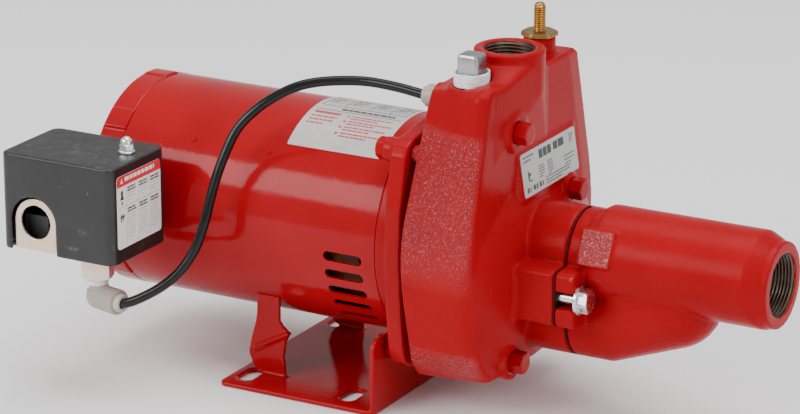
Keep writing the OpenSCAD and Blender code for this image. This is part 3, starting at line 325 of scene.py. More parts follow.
def ptfe():
    p = Paint("ptfe", (0.88, 0.88, 0.87), 0.55, Subsurface_Weight=0.15, Subsurface_Radius=(0.001, 0.001, 0.001),
              Subsurface_Scale=0.5)
    p.link("Base Color", p.blend(p.span(p.noise(300, 3), 0.4, 0.7), (0.80, 0.80, 0.79), (0.92, 0.92, 0.91)))
    p.link("Normal", p.bump(p.noise(700, 3, 0.6, (1, 1, 4)), 0.0002, 0.6))
    return p.material


enamel_sheet = enamel("enamel_sheet")
enamel_bell = enamel("enamel_bell", (0.20, 0.28), 0.10, 0.05)
# enamel_cast and enamel_pad carry painted glints, a lighter pink on their grain peaks.
enamel_cast = enamel("enamel_cast", (0.20, 0.30), 0.055, 0.07, sanded=True, glint_paint=0.55)
enamel_pad = enamel("enamel_pad", (0.10, 0.16), 0.7, 1.0, 900.0, glint_paint=0.95)
bright_zinc = plated("bright_zinc", (0.80, 0.82, 0.84), (0.70, 0.72, 0.74), 0.24)
plug_zinc = plated("plug_zinc", (0.42, 0.44, 0.445), (0.33, 0.35, 0.355), 0.27)
dull_zinc = plated("dull_zinc", (0.62, 0.64, 0.65), (0.50, 0.52, 0.54), 0.36)
yellow_zinc = chromate()
brass_rod = turned_metal("brass_rod", (0.50, 0.26, 0.07), (0.30, 0.14, 0.04), 0.26, "Z")
brass_disc = turned_metal("brass_disc", (0.34, 0.20, 0.065), (0.22, 0.13, 0.045), 0.38, "Z")
dark_iron = turned_metal("dark_iron", (0.11, 0.085, 0.065), (0.05, 0.04, 0.032), 0.34)
ground_steel = turned_metal("ground_steel", (0.62, 0.63, 0.65), (0.42, 0.43, 0.45), 0.22)
bearing_steel = turned_metal("bearing_steel", (0.74, 0.75, 0.77), (0.60, 0.61, 0.63), 0.14)
spring_steel = turned_metal("spring_steel", (0.50, 0.50, 0.52), (0.34, 0.34, 0.36), 0.3, "Z")
cast_aluminium = plated("cast_aluminium", (0.70, 0.71, 0.72), (0.55, 0.56, 0.57), 0.45, 90.0)
lamination = laminated("lamination", (0.45, 0.46, 0.48), (0.12, 0.12, 0.13), 0.4, 0.9, 320.0)
winding = laminated("winding", (0.72, 0.24, 0.07), (0.22, 0.06, 0.02), 0.3, 0.9, 260.0, "DIAGONAL", 0.0003)
cover_black = moulded("cover_black", (0.0105, 0.0105, 0.0105), 0.38, 900, 0.00012, speck=(0.30, 0.30, 0.29))
plain_black = moulded("plain_black", (0.02, 0.02, 0.021), 0.5, 600, 0.0001)
tube_black = moulded("tube_black", (0.004, 0.004, 0.0045), 0.22, 300, 0.00002, Specular_IOR_Level=0.3)
rubber = moulded("rubber", (0.014, 0.014, 0.014), 0.7, 800, 0.0002)
fitting_grey = moulded("fitting_grey", (0.36, 0.31, 0.28), 0.34, 500, 0.00005)
collet_grey = moulded("collet_grey", (0.50, 0.465, 0.42), 0.3, 500, 0.00005)
sealed_edge = moulded("sealed_edge", (0.045, 0.003, 0.004), 0.6, 700, 0.0001, Specular_IOR_Level=0.1)
pump_plastic = moulded("pump_plastic", (0.10, 0.10, 0.11), 0.4, 500, 0.0001)
board = moulded("board", (0.16, 0.09, 0.04), 0.5, 700, 0.0001)
ceramic = moulded("ceramic", (0.85, 0.84, 0.80), 0.18, 900, 0.00002)
carbon = moulded("carbon", (0.03, 0.03, 0.032), 0.3, 900, 0.00004)
silver_foil = foil("silver_foil", (0.50, 0.505, 0.50), 0.42, 0.35)
motor_foil = foil("motor_foil", (0.60, 0.575, 0.54), 0.4, 0.3)
white_vinyl = foil("white_vinyl", (0.84, 0.84, 0.83), 0.4, 0.0)
black_ink = ink("black_ink", (0.02, 0.02, 0.02))
grey_ink = ink("grey_ink", (0.42, 0.42, 0.42))
red_ink = ink("red_ink", (0.42, 0.03, 0.04))
header_red = ink("header_red", (0.62, 0.012, 0.02))
tape = ptfe()

FINISH = {
    enamel_sheet: ["base_stand", "motor_shell", "rear_cover"],
    enamel_bell: ["drive_end_bell", "rear_end_bell", "seal_plate", "flange_bolts"],
    enamel_cast: ["casing", "ejector_body", "pipe_plugs"],
    bright_zinc: ["cover_screws", "through_bolts", "ejector_bolts", "cover_nut"],
    plug_zinc: ["priming_plug"],
    dull_zinc: ["switch_lever", "range_nut", "conduit_nipple", "nipple_locknuts"],
    yellow_zinc: ["switch_base", "pressure_connector"],
    brass_rod: ["regulator_stem", "regulator_valve", "nozzle", "switch_leaf", "impeller"],
    brass_disc: ["regulator_body"],
    ground_steel: ["motor_shaft", "governor_hub"],
    bearing_steel: ["bearing_outer_rings", "bearing_inner_rings", "bearing_balls"],
    spring_steel: ["seal_spring", "range_spring"],
    cast_aluminium: ["rotor_cage"],
    lamination: ["stator_core", "rotor_core"],
    winding: ["stator_windings"],
    plain_black: ["start_capacitor", "thermal_protector", "governor_collar", "contact_block"],
    cover_black: ["switch_cover"],
    tube_black: ["pressure_tube"],
    rubber: ["slinger", "casing_oring", "diaphragm"],
    sealed_edge: ["ejector_gasket"],
    fitting_grey: ["straight_fitting", "elbow_fitting"],
    pump_plastic: ["diffuser", "venturi"],
    board: ["terminal_board", "start_switch_board"],
    ceramic: ["seal_seat"],
    carbon: ["seal_head"],
    silver_foil: ["pump_nameplate"],
    motor_foil: ["motor_label"],
    white_vinyl: ["switch_label"],
    tape: ["thread_tape"],
}
for finish, names in FINISH.items():
    for name in names:
        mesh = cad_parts[name].data
        mesh.materials.clear()
        mesh.materials.append(finish)
tube.data.materials.append(tube_black)

# ---- mesh builders, in millimetres ----
def add_mesh(name, points, faces, finishes, stands_for, slot, body="housing", face_finish=None, crease=32.0):
    """One closed piece: scales the points to metres, sets finishes and smooths below the crease angle."""
    mesh = bpy.data.meshes.new(name)
    mesh.from_pydata([(x * MM, y * MM, z * MM) for x, y, z in points], [], faces)
    finishes = finishes if isinstance(finishes, list) else [finishes]
    for finish in finishes:
        mesh.materials.append(finish)
    if face_finish is not None:
        for polygon, index in zip(mesh.polygons, face_finish):
            polygon.material_index = index
    mesh.update()
    mesh.shade_smooth()
    mesh.set_sharp_from_angle(angle=math.radians(crease))
    piece = bpy.data.objects.new(name, mesh)
    bpy.context.scene.collection.objects.link(piece)
    if stands_for:
        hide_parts(stands_for)
    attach(piece, body)
    return piece


def basis(direction):
    """Two unit vectors across a direction, so that the three are right-handed."""
    along = Vector(direction).normalized()
    across = Vector((0, 1, 0)) if abs(along.x) > 0.9 else Vector((1, 0, 0))
    up = along.cross(across).normalized()
    return up.cross(along).normalized(), up, along


def spin_solid(rings, origin, direction, steps=48, loop=False, turn=0.0):
    """Points and faces of a body swept round an axis. A ring is (radius, distance along the axis);
    either may be a function of the angle. A radius of 0 is a pole; loop closes the section on itself."""
    u, v, w = basis(direction)
    start = Vector(origin)
    points, faces, rows = [], [], []
    for radius, along in rings:
        if radius == 0:
            rows.append([len(points)])
            points.append(start + w * along)
            continue
        row = []
        for k in range(steps):
            a = turn + 2 * math.pi * k / steps
            r = radius(a) if callable(radius) else radius
            t = along(a) if callable(along) else along
            row.append(len(points))
            points.append(start + (u * math.cos(a) + v * math.sin(a)) * r + w * t)
        rows.append(row)
    pairs = list(zip(rows, rows[1:])) + ([(rows[-1], rows[0])] if loop else [])
    for low, high in pairs:
        for k in range(steps):
            n = (k + 1) % steps
            if len(low) == 1:
                faces.append((low[0], high[n], high[k]))
            elif len(high) == 1:
                faces.append((low[k], low[n], high[0]))
            else:
                faces.append((low[k], low[n], high[n], high[k]))
    return points, faces


def merged(parts):
    """Joins several (points, faces) into one pair."""
    points, faces = [], []
    for part_points, part_faces in parts:
        shift = len(points)
        points += list(part_points)
        faces += [tuple(i + shift for i in face) for face in part_faces]
    return points, faces


def hex_radius(across, turn=0.0):
    def radius(a):
        step = (a - turn) % (math.pi / 3) - math.pi / 6
        return across / 2 / math.cos(step)
    return radius


def hex_head(across, origin, direction, height, turn=0.0, base=0.0, washer=0.0, washer_t=0.0):
    """A forged hexagon head with its corners turned down, and a washer face under it."""
    radius = hex_radius(across, turn)
    flat = across / 2 * 0.94
    slope = math.tan(math.radians(30))
    shoulder = lambda a: base + height - (radius(a) - flat) * slope
    rings = [(0, base), (radius, base), (radius, shoulder), (flat, base + height), (flat * 0.8, base + height),
             (0, base + height)]
    if washer:
        rings = [(0, base), (washer - 0.3, base), (washer, base + 0.3), (washer, base + washer_t - 0.4),
                 (washer - 0.5, base + washer_t), (lambda a: radius(a) + 0.2, base + washer_t),
                 (radius, base + washer_t + 0.3)] + rings[2:]
    return spin_solid(rings, origin, direction, 72, turn=0.0)


def square_radius(half, corner):
    """Outline of a square with rounded corners, as a radius at an angle."""
    def radius(a):
        c, s = abs(math.cos(a)), abs(math.sin(a))
        big, small = max(c, s), min(c, s)
        if small / big * half <= half - corner:
            return half / big
        m = half - corner
        dot = m * (c + s)
        return dot + math.sqrt(max(0.0, dot * dot - 2 * m * m + corner * corner))
    return radius


def thread_height(a, t, pitch, hand=1):
    """0 in the groove and 1 on the crest of a helical thread."""
    phase = (t / pitch - hand * a / (2 * math.pi)) % 1.0
    return 1 - abs(2 * phase - 1)


def threaded_sleeve(outer, root, crest, origin, direction, length, pitch):
    """Closed ring of metal with a helical thread on its inside."""
    count = int(length / pitch * 6)
    inside = []
    for i in range(count + 1):
        t = length * i / count
        fade = min(1.0, t / pitch, (length - t) / pitch)
        inside.append((lambda a, t=t, fade=fade: root - (root - crest) * fade
                       * min(1.0, 1.25 * thread_height(a, t, pitch)), t))
    rings = [(outer, 0.0)] + inside + [(outer, length)]
    return spin_solid(rings, origin, direction, 96, loop=True)


def threaded_rod(root, crest, origin, direction, length, pitch, plain):
    """Rod with a rounded top and a helical thread down to a plain end."""
    count = int((length - 1.2) / pitch * 8)
    rings = [(0, 0.0), (root, 0.0)]
    for i in range(count + 1):
        t = 0.3 + (length - 1.8) * i / count
        fade = min(1.0, max(0.0, (t - plain) / pitch), max(0.0, (length - 1.5 - t) / (0.6 * pitch)))
        rings.append((lambda a, t=t, fade=fade: root + (crest - root) * fade
                      * min(1.0, 1.35 * thread_height(a, t, pitch)), t))
    for k in range(1, 7):
        b = k / 6 * math.pi / 2
        rings.append((root * (0.45 + 0.55 * math.cos(b)), length - 1.5 + 1.5 * math.sin(b)))
    rings.append((0, length))
    return spin_solid(rings, origin, direction, 40)


def cast(name, node, voxel, rounds, finish, crease=180.0):
    """Rounded copy of a CAD node: its mesh is re-skinned on a fine grid and relaxed, as a casting is."""
    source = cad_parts[node]
    work = bpy.data.objects.new(name + "_work", source.data.copy())
    bpy.context.scene.collection.objects.link(work)
    skin = work.modifiers.new("skin", "REMESH")
    skin.mode = "VOXEL"
    skin.voxel_size = voxel * MM
    relax = work.modifiers.new("relax", "SMOOTH")
    relax.factor = 0.5
    relax.iterations = rounds
    graph = bpy.context.evaluated_depsgraph_get()
    mesh = bpy.data.meshes.new_from_object(work.evaluated_get(graph))
    bpy.data.objects.remove(work)
    mesh.name = name
    mesh.materials.clear()
    mesh.materials.append(finish)
    mesh.shade_smooth()
    if crease < 180:
        mesh.set_sharp_from_angle(angle=math.radians(crease))
    piece = bpy.data.objects.new(name, mesh)
    bpy.context.scene.collection.objects.link(piece)
    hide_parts(node)
    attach(piece, "housing")
    return piece


def reskin(piece, voxel, rounds):
    """Fuses the overlapping solids of a piece into one moulded skin."""
    skin = piece.modifiers.new("skin", "REMESH")
    skin.mode = "VOXEL"
    skin.voxel_size = voxel * MM
    relax = piece.modifiers.new("relax", "SMOOTH")
    relax.iterations = rounds
    graph = bpy.context.evaluated_depsgraph_get()
    mesh = bpy.data.meshes.new_from_object(piece.evaluated_get(graph))
    piece.modifiers.clear()
    for finish in piece.data.materials:
        if finish.name not in [m.name for m in mesh.materials if m]:
            mesh.materials.append(finish)
    mesh.shade_smooth()
    piece.data = mesh


def cut_lines(edges, length, spacing):
    """Sorted grid lines through every edge, with extra lines so that no gap is wider than the spacing."""
    lines = sorted({round(min(max(e, 0.0), length), 3) for e in list(edges) + [0.0, length]})
    filled = [lines[0]]
    for line in lines[1:]:
        pieces = max(1, math.ceil((line - filled[-1]) / spacing))
        start = filled[-1]
        filled += [start + (line - start) * k / pieces for k in range(1, pieces + 1)]
    return filled


def printed_sheet(name, place, width, height, corner, thickness, marks, finishes, stands_for, slot,
                  spacing=6.0):
    """A label with real thickness. place(u, v, w) gives the spot of a point u across, v up, w out.
    marks are (u0, v0, u1, v1, index of finish); the last one drawn over a spot wins."""
    fine = [corner * k / 4 for k in range(5)]
    us = cut_lines([m[0] for m in marks] + [m[2] for m in marks] + fine + [width - f for f in fine], width, spacing)
    vs = cut_lines([m[1] for m in marks] + [m[3] for m in marks] + fine + [height - f for f in fine], height, spacing)

    def rounded(u, v):
        cu = corner if u < corner else width - corner if u > width - corner else u
        cv = corner if v < corner else height - corner if v > height - corner else v
        du, dv = u - cu, v - cv
        far = math.hypot(du, dv)
        if cu != u and cv != v and far > corner:
            return cu + du * corner / far, cv + dv * corner / far
        return u, v

    points, faces, inks = [], [], []
    nu, nv = len(us), len(vs)
    for w in (thickness, 0.0):
        for v in vs:
            for u in us:
                a, b = rounded(u, v)
                points.append(place(a, b, w))
    for j in range(nv - 1):
        for i in range(nu - 1):
            k = j * nu + i
            mu, mv = (us[i] + us[i + 1]) / 2, (vs[j] + vs[j + 1]) / 2
            index = 0
            for u0, v0, u1, v1, which in marks:
                if u0 < mu < u1 and v0 < mv < v1:
                    index = which
            faces.append((k, k + 1, k + nu + 1, k + nu))
            inks.append(index)
            back = k + nu * nv
            faces.append((back, back + nu, back + nu + 1, back + 1))
            inks.append(0)
    rim = ([i for i in range(nu)] + [j * nu + nu - 1 for j in range(1, nv)]
           + [(nv - 1) * nu + i for i in range(nu - 2, -1, -1)] + [j * nu for j in range(nv - 2, 0, -1)])
    for a, b in zip(rim, rim[1:] + rim[:1]):
        faces.append((a, a + nu * nv, b + nu * nv, b))
        inks.append(0)
    return add_mesh(name, points, faces, finishes, stands_for, slot, face_finish=inks, crease=50)


def greeked(left, top, width, rows, pitch, height, ink_index, word=(1.2, 3.4), gap=0.5, short_last=True):
    """Rows of dashes that stand for unreadable print, from the top row down."""
    marks = []
    for row in range(rows):
        v1 = top - row * pitch
        limit = left + width * (0.6 if short_last and row == rows - 1 else random.uniform(0.86, 1.0))
        u = left
        while u < limit - 0.4:
            long = min(random.uniform(*word), limit - u)
            marks.append((u, v1 - height, u + long, v1, ink_index))
            u += long + gap
    return marks


# ---- castings and pressed parts ----
CASTINGS = [
    ("casing_body", "casing", 1.25, 7, enamel_cast),
    ("ejector_casting", "ejector_body", 1.0, 6, enamel_cast),
    ("bell_casting", "drive_end_bell", 1.1, 3, enamel_bell),
    ("foot_pressing", "base_stand", 0.9, 3, enamel_sheet),
    ("rear_cap", "rear_cover", 0.8, 2, enamel_sheet),
    ("cover_moulding", "switch_cover", 0.8, 11, cover_black),
    ("switch_tray", "switch_base", 0.7, 2, yellow_zinc),
]
for piece_name, node, voxel, rounds, finish in CASTINGS:
    cast(piece_name, node, voxel, rounds, finish)


def sand_blast(piece, depth, low, high, x_limit):
    """Real sand grain on the side of a casting that faces the switch, faded at the edges of the patch."""
    mesh = piece.data
    for vertex in mesh.vertices:
        if vertex.normal.y < -0.55 and vertex.co.x < x_limit * MM:
            z = vertex.co.z / MM
            share = min(1.0, max(0.0, (z - low) / 18)) * min(1.0, max(0.0, (high - z) / 3))
            if share > 0:
                vertex.co += vertex.normal * random.uniform(-depth, depth) * share * MM
    mesh.update()


def grain_pad(piece, centre_x, half_length, tilt, reach, depth):
    """Coarse sand grain on the raised pad of the ejector, a flat that leans back by the tilt."""
    mesh = piece.data
    # The pad's finish also carries painted glints, a lighter pink on the grain peaks.
    mesh.materials.append(enamel_pad)
    out = Vector((0, -math.cos(tilt), math.sin(tilt)))
    axis = Vector((0, 0, AXIS_Z * MM))
    grained = set()
    for polygon in mesh.polygons:
        centre = polygon.center
        flat = polygon.normal.dot(out) > 0.93 and (centre - axis).dot(out) > reach * MM
        if flat and abs(centre.x - centre_x * MM) < half_length * MM:
            polygon.material_index = 1
            grained.update(polygon.vertices)
    for index in sorted(grained):
        vertex = mesh.vertices[index]
        vertex.co += out * random.uniform(-depth, 0.2 * depth) * MM
    mesh.update()


sand_blast(bpy.data.objects["casing_body"], 0.16, 95, 189, 131)
grain_pad(bpy.data.objects["ejector_casting"], 196, 11, math.radians(25), 33.2, 0.28)

# ---- threads in the two ports ----
SUCTION_THREAD = 25
DISCHARGE_THREAD = 30
PIPE_PITCH = 2.2
WALL_BITE = 0.5
suction_thread = threaded_sleeve(20 + WALL_BITE, 20.1, 18.9, (SUCTION_X - 0.6 - SUCTION_THREAD, 0, AXIS_Z), X_AXIS,
                                 SUCTION_THREAD, PIPE_PITCH)
add_mesh("suction_thread", *suction_thread, dark_iron, None, "red_paint", crease=80)
discharge_thread = threaded_sleeve(16 + WALL_BITE, 16.1, 14.9, (DISCHARGE[0], 0, DISCHARGE[2] - 0.9 - DISCHARGE_THREAD),
                                   Z_AXIS, DISCHARGE_THREAD, PIPE_PITCH)
add_mesh("discharge_thread", *discharge_thread, dark_iron, None, "red_paint", crease=80)

# ---- regulator ----
STEM_BASE, STEM_TOP, STEM_ROOT, STEM_CREST = 184, 251.9, 3.15, 3.9
STEM_PITCH = 1.411
stem = threaded_rod(STEM_ROOT, STEM_CREST, (REGULATOR[0], REGULATOR[1], STEM_BASE), Z_AXIS, STEM_TOP - STEM_BASE,
                    STEM_PITCH, 8)
add_mesh("stem_thread", *stem, brass_rod, "regulator_stem", "brass", body="regulator_screw", crease=50)

# ---- priming plug with tape ----
HEAD_HALF = 7.15
square = lambda scale, corner=1.9: square_radius(HEAD_HALF * scale, corner)
priming = spin_solid([(0, -8), (10.3, -8), (10.5, -7.6), (10.5, 7.4), (9.6, 8.2), (9.0, 8.2), (square(1.03), 8.4),
                      (square(1.0), 13), (square(0.985), 18.0), (square(0.95), 19.4), (square(0.88), 20.2),
                      (square(0.7), 20.4), (0, 20.4)], PRIMING, Z_AXIS, 96)
add_mesh("priming_head", *priming, plug_zinc, "priming_plug", "zinc_plate")


def tape_wrap(centre, inner, outer, base, top, wraps, slant):
    """Wound tape: overlapping turns with uneven edges and a slanted top."""
    rings = [(inner, base)]
    for i in range(wraps):
        low = base + (top - base) * i / wraps
        high = base + (top - base) * (i + 1) / wraps
        for share, swell in ((0.06, -0.28), (0.3, 0.0), (0.75, 0.05), (0.94, -0.1)):
            wave = random.uniform(0, 6.28)
            level = low + (high - low) * share
            rings.append((lambda a, swell=swell, wave=wave: outer + swell + 0.07 * math.sin(3 * a + wave)
                          + 0.05 * math.sin(7 * a + 2 * wave),
                          lambda a, level=level, wave=wave: level + slant * (level - base) / (top - base)
                          * math.sin(a + 0.6) + 0.10 * math.sin(5 * a + wave)))
    rings.append((inner, lambda a: top + slant * math.sin(a + 0.6)))
    return spin_solid(rings, (centre[0], centre[1], 0), Z_AXIS, 72, loop=True)


tape_parts = merged([
    tape_wrap(PRIMING, 10.45, 11.3, PRIMING[2] + 0.1, PRIMING[2] + 8.9, 6, 0.5),
    tape_wrap(CONNECTOR, 6.35, 6.9, 68.3, 72.3, 3, 0.1)])
add_mesh("wound_tape", *tape_parts, tape, "thread_tape", "ptfe_tape")

# ---- fasteners ----
FLANGE_HEAD = 5.3
bolts = []
for side in (-1, 1):
    for level, seat in ((1, 62.5), (-1, 62.0)):
        spot = (seat, side * FLANGE_BOLT_Y, AXIS_Z + level * FLANGE_BOLT_Z)
        bolts.append(hex_head(13, spot, (-1, 0, 0), FLANGE_HEAD, random.uniform(0, 1)))
        bolts.append(spin_solid([(0, 0), (4, 0), (4, 90 - seat - 1), (3.2, 90 - seat), (0, 90 - seat)],
                                (seat, spot[1], spot[2]), X_AXIS, 32))
add_mesh("flange_screws", *merged(bolts), enamel_bell, "flange_bolts", "red_paint")

bolts = []
for side in (-1, 1):
    spot = (EJECTOR_BOLT[0], side * EJECTOR_BOLT[1], EJECTOR_BOLT[2])
    bolts.append(hex_head(14.3, spot, X_AXIS, 8.5, 0.35 + side * 0.2, washer=9.5, washer_t=2.2))
    bolts.append(spin_solid([(0, -32), (3.4, -32), (4, -31.2), (4, 0.2), (0, 0.2)], spot, X_AXIS, 32))
add_mesh("ejector_screws", *merged(bolts), bright_zinc, "ejector_bolts", "zinc_plate")

plugs = []
for (y, z), face in (((-28, 186), 141), ((40, 132), 146), ((-31, 36), 141)):
    plugs.append(hex_head(13, (face, y, z), X_AXIS, 8, random.uniform(-0.1, 0.1)))
    plugs.append(spin_solid([(0, -12), (6.3, -12), (6.6, -11.6), (6.6, 0.5), (0, 0.5)], (face, y, z), X_AXIS, 32))
add_mesh("port_plugs", *merged(plugs), enamel_bell, "pipe_plugs", "red_paint")

brass_flats = hex_radius(21.3, math.radians(29))
brass_hex = lambda a: min(brass_flats(a), 11.95)
rings = [(3.97, -22), (7.6, -22), (8, -21.5), (8, 0), (lambda a: brass_hex(a) - 0.4, 0), (brass_hex, 0.4),
         (lambda a: brass_hex(a) - 0.1, 2.2), (lambda a: min(brass_hex(a) - 0.5, 11.2), 3), (3.97, 3)]
add_mesh("regulator_bush", *spin_solid(rings, REGULATOR, Z_AXIS, 72, loop=True), brass_disc, "regulator_body", "brass")

# ---- fittings of the pressure line ----
rings = [(TUBE_R, 9), (6.3, 9), (6.5, 8.7), (6.5, 0.2), (7.2, 0.1), (7.45, -0.4), (7.45, -5.6), (7.0, -6.4),
         (5.75, -6.7), (5.75, -8.3), (5.3, -9), (TUBE_R, -9)]
add_mesh("push_fitting", *spin_solid(rings, FITTING, X_AXIS, 56, loop=True), fitting_grey, "straight_fitting",
         "fitting_grey", crease=25)

ALONG = (math.cos(ELBOW_TURN), math.sin(ELBOW_TURN), 0)
elbow = merged([
    spin_solid([(0, -8.5)] + [(8.5 * math.cos(b), 8.5 * math.sin(b)) for b in
                              (math.radians(d) for d in range(-75, 90, 15))] + [(0, 8.5)], ELBOW, Z_AXIS, 40),
    spin_solid([(0, 0), (7.9, 0), (8.0, 4.6), (6.3, 5.6), (6.3, 17.8), (0, 17.8)], ELBOW, Z_AXIS, 40),
    spin_solid([(0, 0), (8.3, 0), (8.4, 9), (8.1, 11.2), (8.5, 12.4), (8.5, 18.6), (7.8, 19.2), (0, 19.2)],
               ELBOW, ALONG, 48)])
elbow_body = add_mesh("elbow_body", *elbow, fitting_grey, "elbow_fitting", "fitting_grey")
reskin(elbow_body, 0.5, 3)
collet = spin_solid([(TUBE_R, 15), (6.0, 15), (6.0, 21.6), (5.6, 23), (TUBE_R + 0.4, 23), (TUBE_R, 22.4)],
                    ELBOW, ALONG, 40, loop=True)
add_mesh("elbow_collet", *collet, collet_grey, None, "fitting_grey")
nut_flats = hex_radius(18.9, math.radians(45))
rings = [(3, 72.5), (9.0, 72.5), (nut_flats, lambda a: 72.5 + (nut_flats(a) - 9.0) * 0.58),
         (nut_flats, lambda a: 90 - (nut_flats(a) - 9.3) * 0.5), (9.3, 90), (22.6, 90), (23, 90.4), (23, 93.4), (22.5, 94),
         (18, 94), (18, 91.6), (3, 91.6)]
add_mesh("line_connector", *spin_solid(rings, (*CONNECTOR, 0), Z_AXIS, 72, loop=True), yellow_zinc, "pressure_connector",
         "zinc_plate")

dome = [(4.1 * math.cos(b), 6.2 + 4.6 * math.sin(b)) for b in (math.radians(d) for d in range(0, 90, 12))]
rings = [(2.4, 0), (5.2, 0), (5.5, 0.4), (5.4, 1.2), (5.0, 1.5), (hex_radius(8.6), 1.6),
         (hex_radius(8.6), lambda a: 5.9 - (hex_radius(8.6)(a) - 4.2) * 0.5), (4.15, 6.0)] + dome + [(0, 10.8), ]
add_mesh("acorn_nut", *spin_solid([(0, 0)] + rings[1:], COVER_POST, Z_AXIS, 60), bright_zinc, "cover_nut", "zinc_plate")

# ---- labels: rows of dashes, rules and blocks only ----
PLATE = (138, -21.4, 168.8)
PLATE_W, PLATE_H = 75, 28
PLATE_TILT = math.radians(9)


def on_nameplate(u, v, w):
    drop = PLATE_H - v
    return (PLATE[0] + drop * math.sin(PLATE_TILT) + w * math.cos(PLATE_TILT), PLATE[1] + u,
            PLATE[2] - drop * math.cos(PLATE_TILT) + w * math.sin(PLATE_TILT))


marks = greeked(3, 25.6, 16, 2, 2.6, 1.1, 1, (1.5, 4.0), 0.4)
marks += [(24, 19.8, 29.2, 25.4, 1), (29.9, 19.8, 35, 25.4, 1), (35.7, 19.8, 41, 25.4, 1), (44, 20.2, 50, 25.4, 1),
          (50.8, 20.2, 58.6, 25.4, 1)]
marks += greeked(66, 25, 6, 4, 1.5, 0.8, 1, (1.2, 2.4), 0.3)
marks += greeked(22, 15.6, 8, 5, 1.7, 0.8, 1, (1.0, 2.2), 0.3) + greeked(34, 16, 8, 6, 1.6, 0.8, 1, (1.0, 2.2), 0.3)
marks += greeked(57, 13, 15, 3, 2.4, 0.9, 1, (1.4, 3.0), 0.6)
marks += [(7, 9.5, 9, 15.5, 1), (9, 8.6, 12.4, 9.6, 1), (9, 12.2, 11, 14.2, 1)]
marks += [(4 + 4.1 * i, 2.4, 4 + 4.1 * i + w, 5.6, 1) for i, w in enumerate((2.8, 1.2, 3.2, 2.2, 3.0, 1.6))]
marks += greeked(30, 6.4, 36, 3, 1.9, 0.8, 1, (1.4, 4.0), 0.4)
printed_sheet("pump_plate_print", on_nameplate, PLATE_W, PLATE_H, 2.2, 0.45, marks, [silver_foil, black_ink],
              "pump_nameplate", "label_foil")

LABEL_R = 71.02
LABEL_X0, LABEL_X1 = -16, 52
LABEL_LOW, LABEL_HIGH = math.radians(49.7), math.radians(130.3)
LABEL_ARC = (LABEL_HIGH - LABEL_LOW) * LABEL_R


def on_shell(u, v, w):
    angle = LABEL_LOW + v / LABEL_R
    r = LABEL_R + w
    return (LABEL_X0 + u, -r * math.cos(angle), AXIS_Z + r * math.sin(angle))


wide = LABEL_X1 - LABEL_X0
marks = [(4, 31.6, 23, 34.4, 3)]
marks += greeked(4, 29.0, 20, 3, 3.7, 1.6, 3, (2.0, 4.5), 0.5) + greeked(4, 17.2, 9, 1, 3, 1.1, 2, (1.6, 3.0), 0.4)
for row in range(4):
    level = 33.4 - row * 5.9
    marks.append((28, level - 2.0, 30.1, level, 3))
    marks += greeked(31.6, level + 0.2, 33, 2, 2.6, 1.4, 3, (2.0, 5.0), 0.4)
for level in (36.6, 43.6, 49.6, 56.4, 63.4, 70.6, 78, 85.4, 92.6):
    marks.append((3, level, wide - 3, level + 0.7, 1))
marks += [(x, 43.6, x + 0.6, 93, 1) for x in (3, 19, 37, 52, wide - 3.6)]
marks += greeked(20, 41.2, 42, 1, 3, 2.4, 1, (2.4, 5.0), 0.5, False)
for row in range(6):
    for left in (4.8, 21, 39, 54):
        marks += greeked(left, 48.8 + row * 7.1, 10 + 3 * random.random(), 2, 2.6, 1.5, 1 if row % 3 else 2, (1.6, 4.0), 0.5)
printed_sheet("motor_label_print", on_shell, wide, LABEL_ARC, 1.2, 0.3, marks,
              [motor_foil, black_ink, grey_ink, red_ink], "motor_label", "label_foil", spacing=3.0)

SWITCH_FACE_X = -87
SWITCH_LABEL = (-136, 103)


def on_cover(u, v, w):
    return (SWITCH_FACE_X + w, SWITCH_LABEL[0] + u, SWITCH_LABEL[1] + v)


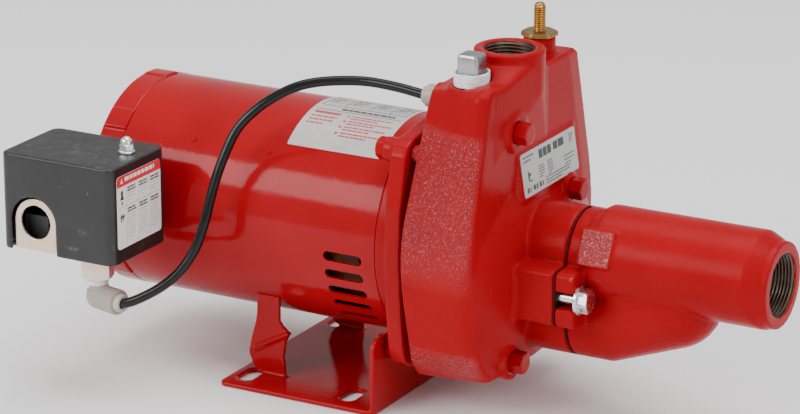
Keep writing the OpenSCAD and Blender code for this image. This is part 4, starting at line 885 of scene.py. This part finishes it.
marks = [(0, 41, 50, 48, 3), (0.3, 27.2, 49.7, 27.7, 2)]
marks += [(x, 1, x + 0.4, 41, 2) for x in (10.5, 24, 37)]
marks += greeked(9, 46.3, 36, 1, 3, 2.6, 0, (3.0, 6.0), 0.9, False) + [(4.4, 43, 6.6, 44.2, 0), (5.0, 44.2, 6.0, 46, 0)]
marks += [(4.4, 33.6, 6.8, 38.2, 1), (3.6, 32.2, 7.6, 33.6, 1), (4.8, 29, 6.4, 31, 1)]
marks += [(4, 17.6, 5.2, 22.6, 1), (6.2, 18.6, 7.4, 22.6, 1), (3.2, 20.4, 8.2, 21.6, 1)]
for left in (11.8, 25.2, 38.2):
    marks += greeked(left, 39.2, 10.2, 2, 1.9, 1.1, 1, (2.4, 5.0), 0.4, False)
    marks += greeked(left, 35.0, 9.6, 3, 2.2, 0.7, 2, (1.4, 3.0), 0.4)
    marks += greeked(left, 25.4, 10.2, 2, 1.9, 1.1, 1, (2.4, 5.0), 0.4, False)
    marks += greeked(left, 21.0, 9.4, 8, 2.1, 0.7, 2, (1.4, 3.0), 0.4)
printed_sheet("switch_label_print", on_cover, 50, 48, 2.4, 0.3, marks, [white_vinyl, black_ink, grey_ink, header_red],
              "switch_label", "label_foil")

# ---- floor and light ----
def make_floor():
    p = Paint("floor_paper", (0.91, 0.91, 0.91), 0.8)
    p.link("Base Color", p.blend(p.noise(3, 2), (0.90, 0.90, 0.90), (0.92, 0.92, 0.92)))
    p.link("Normal", p.bump(p.noise(90, 3), 0.0002, 0.2))
    half = 6
    mesh = bpy.data.meshes.new("floor")
    mesh.from_pydata([(-half, -half, 0), (half, -half, 0), (half, half, 0), (-half, half, 0)], [], [(0, 1, 2, 3)])
    mesh.materials.append(p.material)
    floor = bpy.data.objects.new("floor", mesh)
    floor.location.z = -0.0003
    bpy.context.scene.collection.objects.link(floor)


def make_softbox(name, direction, distance, width, height, radiance, tone=(1, 1, 1)):
    data = bpy.data.lights.new(name, "AREA")
    data.shape = "RECTANGLE"
    data.size = width
    data.size_y = height
    data.energy = radiance * math.pi * width * height
    data.color = tone
    lamp = bpy.data.objects.new(name, data)
    bpy.context.scene.collection.objects.link(lamp)
    toward = Vector(direction).normalized()
    lamp.location = Vector((0.05, 0, 0.12)) + toward * distance
    lamp.rotation_euler = toward.to_track_quat("Z", "Y").to_euler()


def make_world():
    world = bpy.data.worlds.new("studio")
    bpy.context.scene.world = world
    world.use_nodes = True
    back = world.node_tree.nodes["Background"]
    back.inputs["Color"].default_value = (1, 1, 1, 1)
    back.inputs["Strength"].default_value = 0.62


make_floor()
make_world()
make_softbox("key", (-0.46, -0.74, 0.515), 2.2, 1.5, 0.82, 8.0)
make_softbox("top", (0.05, 0.10, 1.0), 2.2, 2.2, 1.6, 4.2)
make_softbox("right", (1.0, -0.35, 0.42), 2.4, 0.9, 1.0, 5.0)
make_softbox("rim", (0.75, 1.0, 0.75), 2.6, 1.0, 0.6, 2.0)
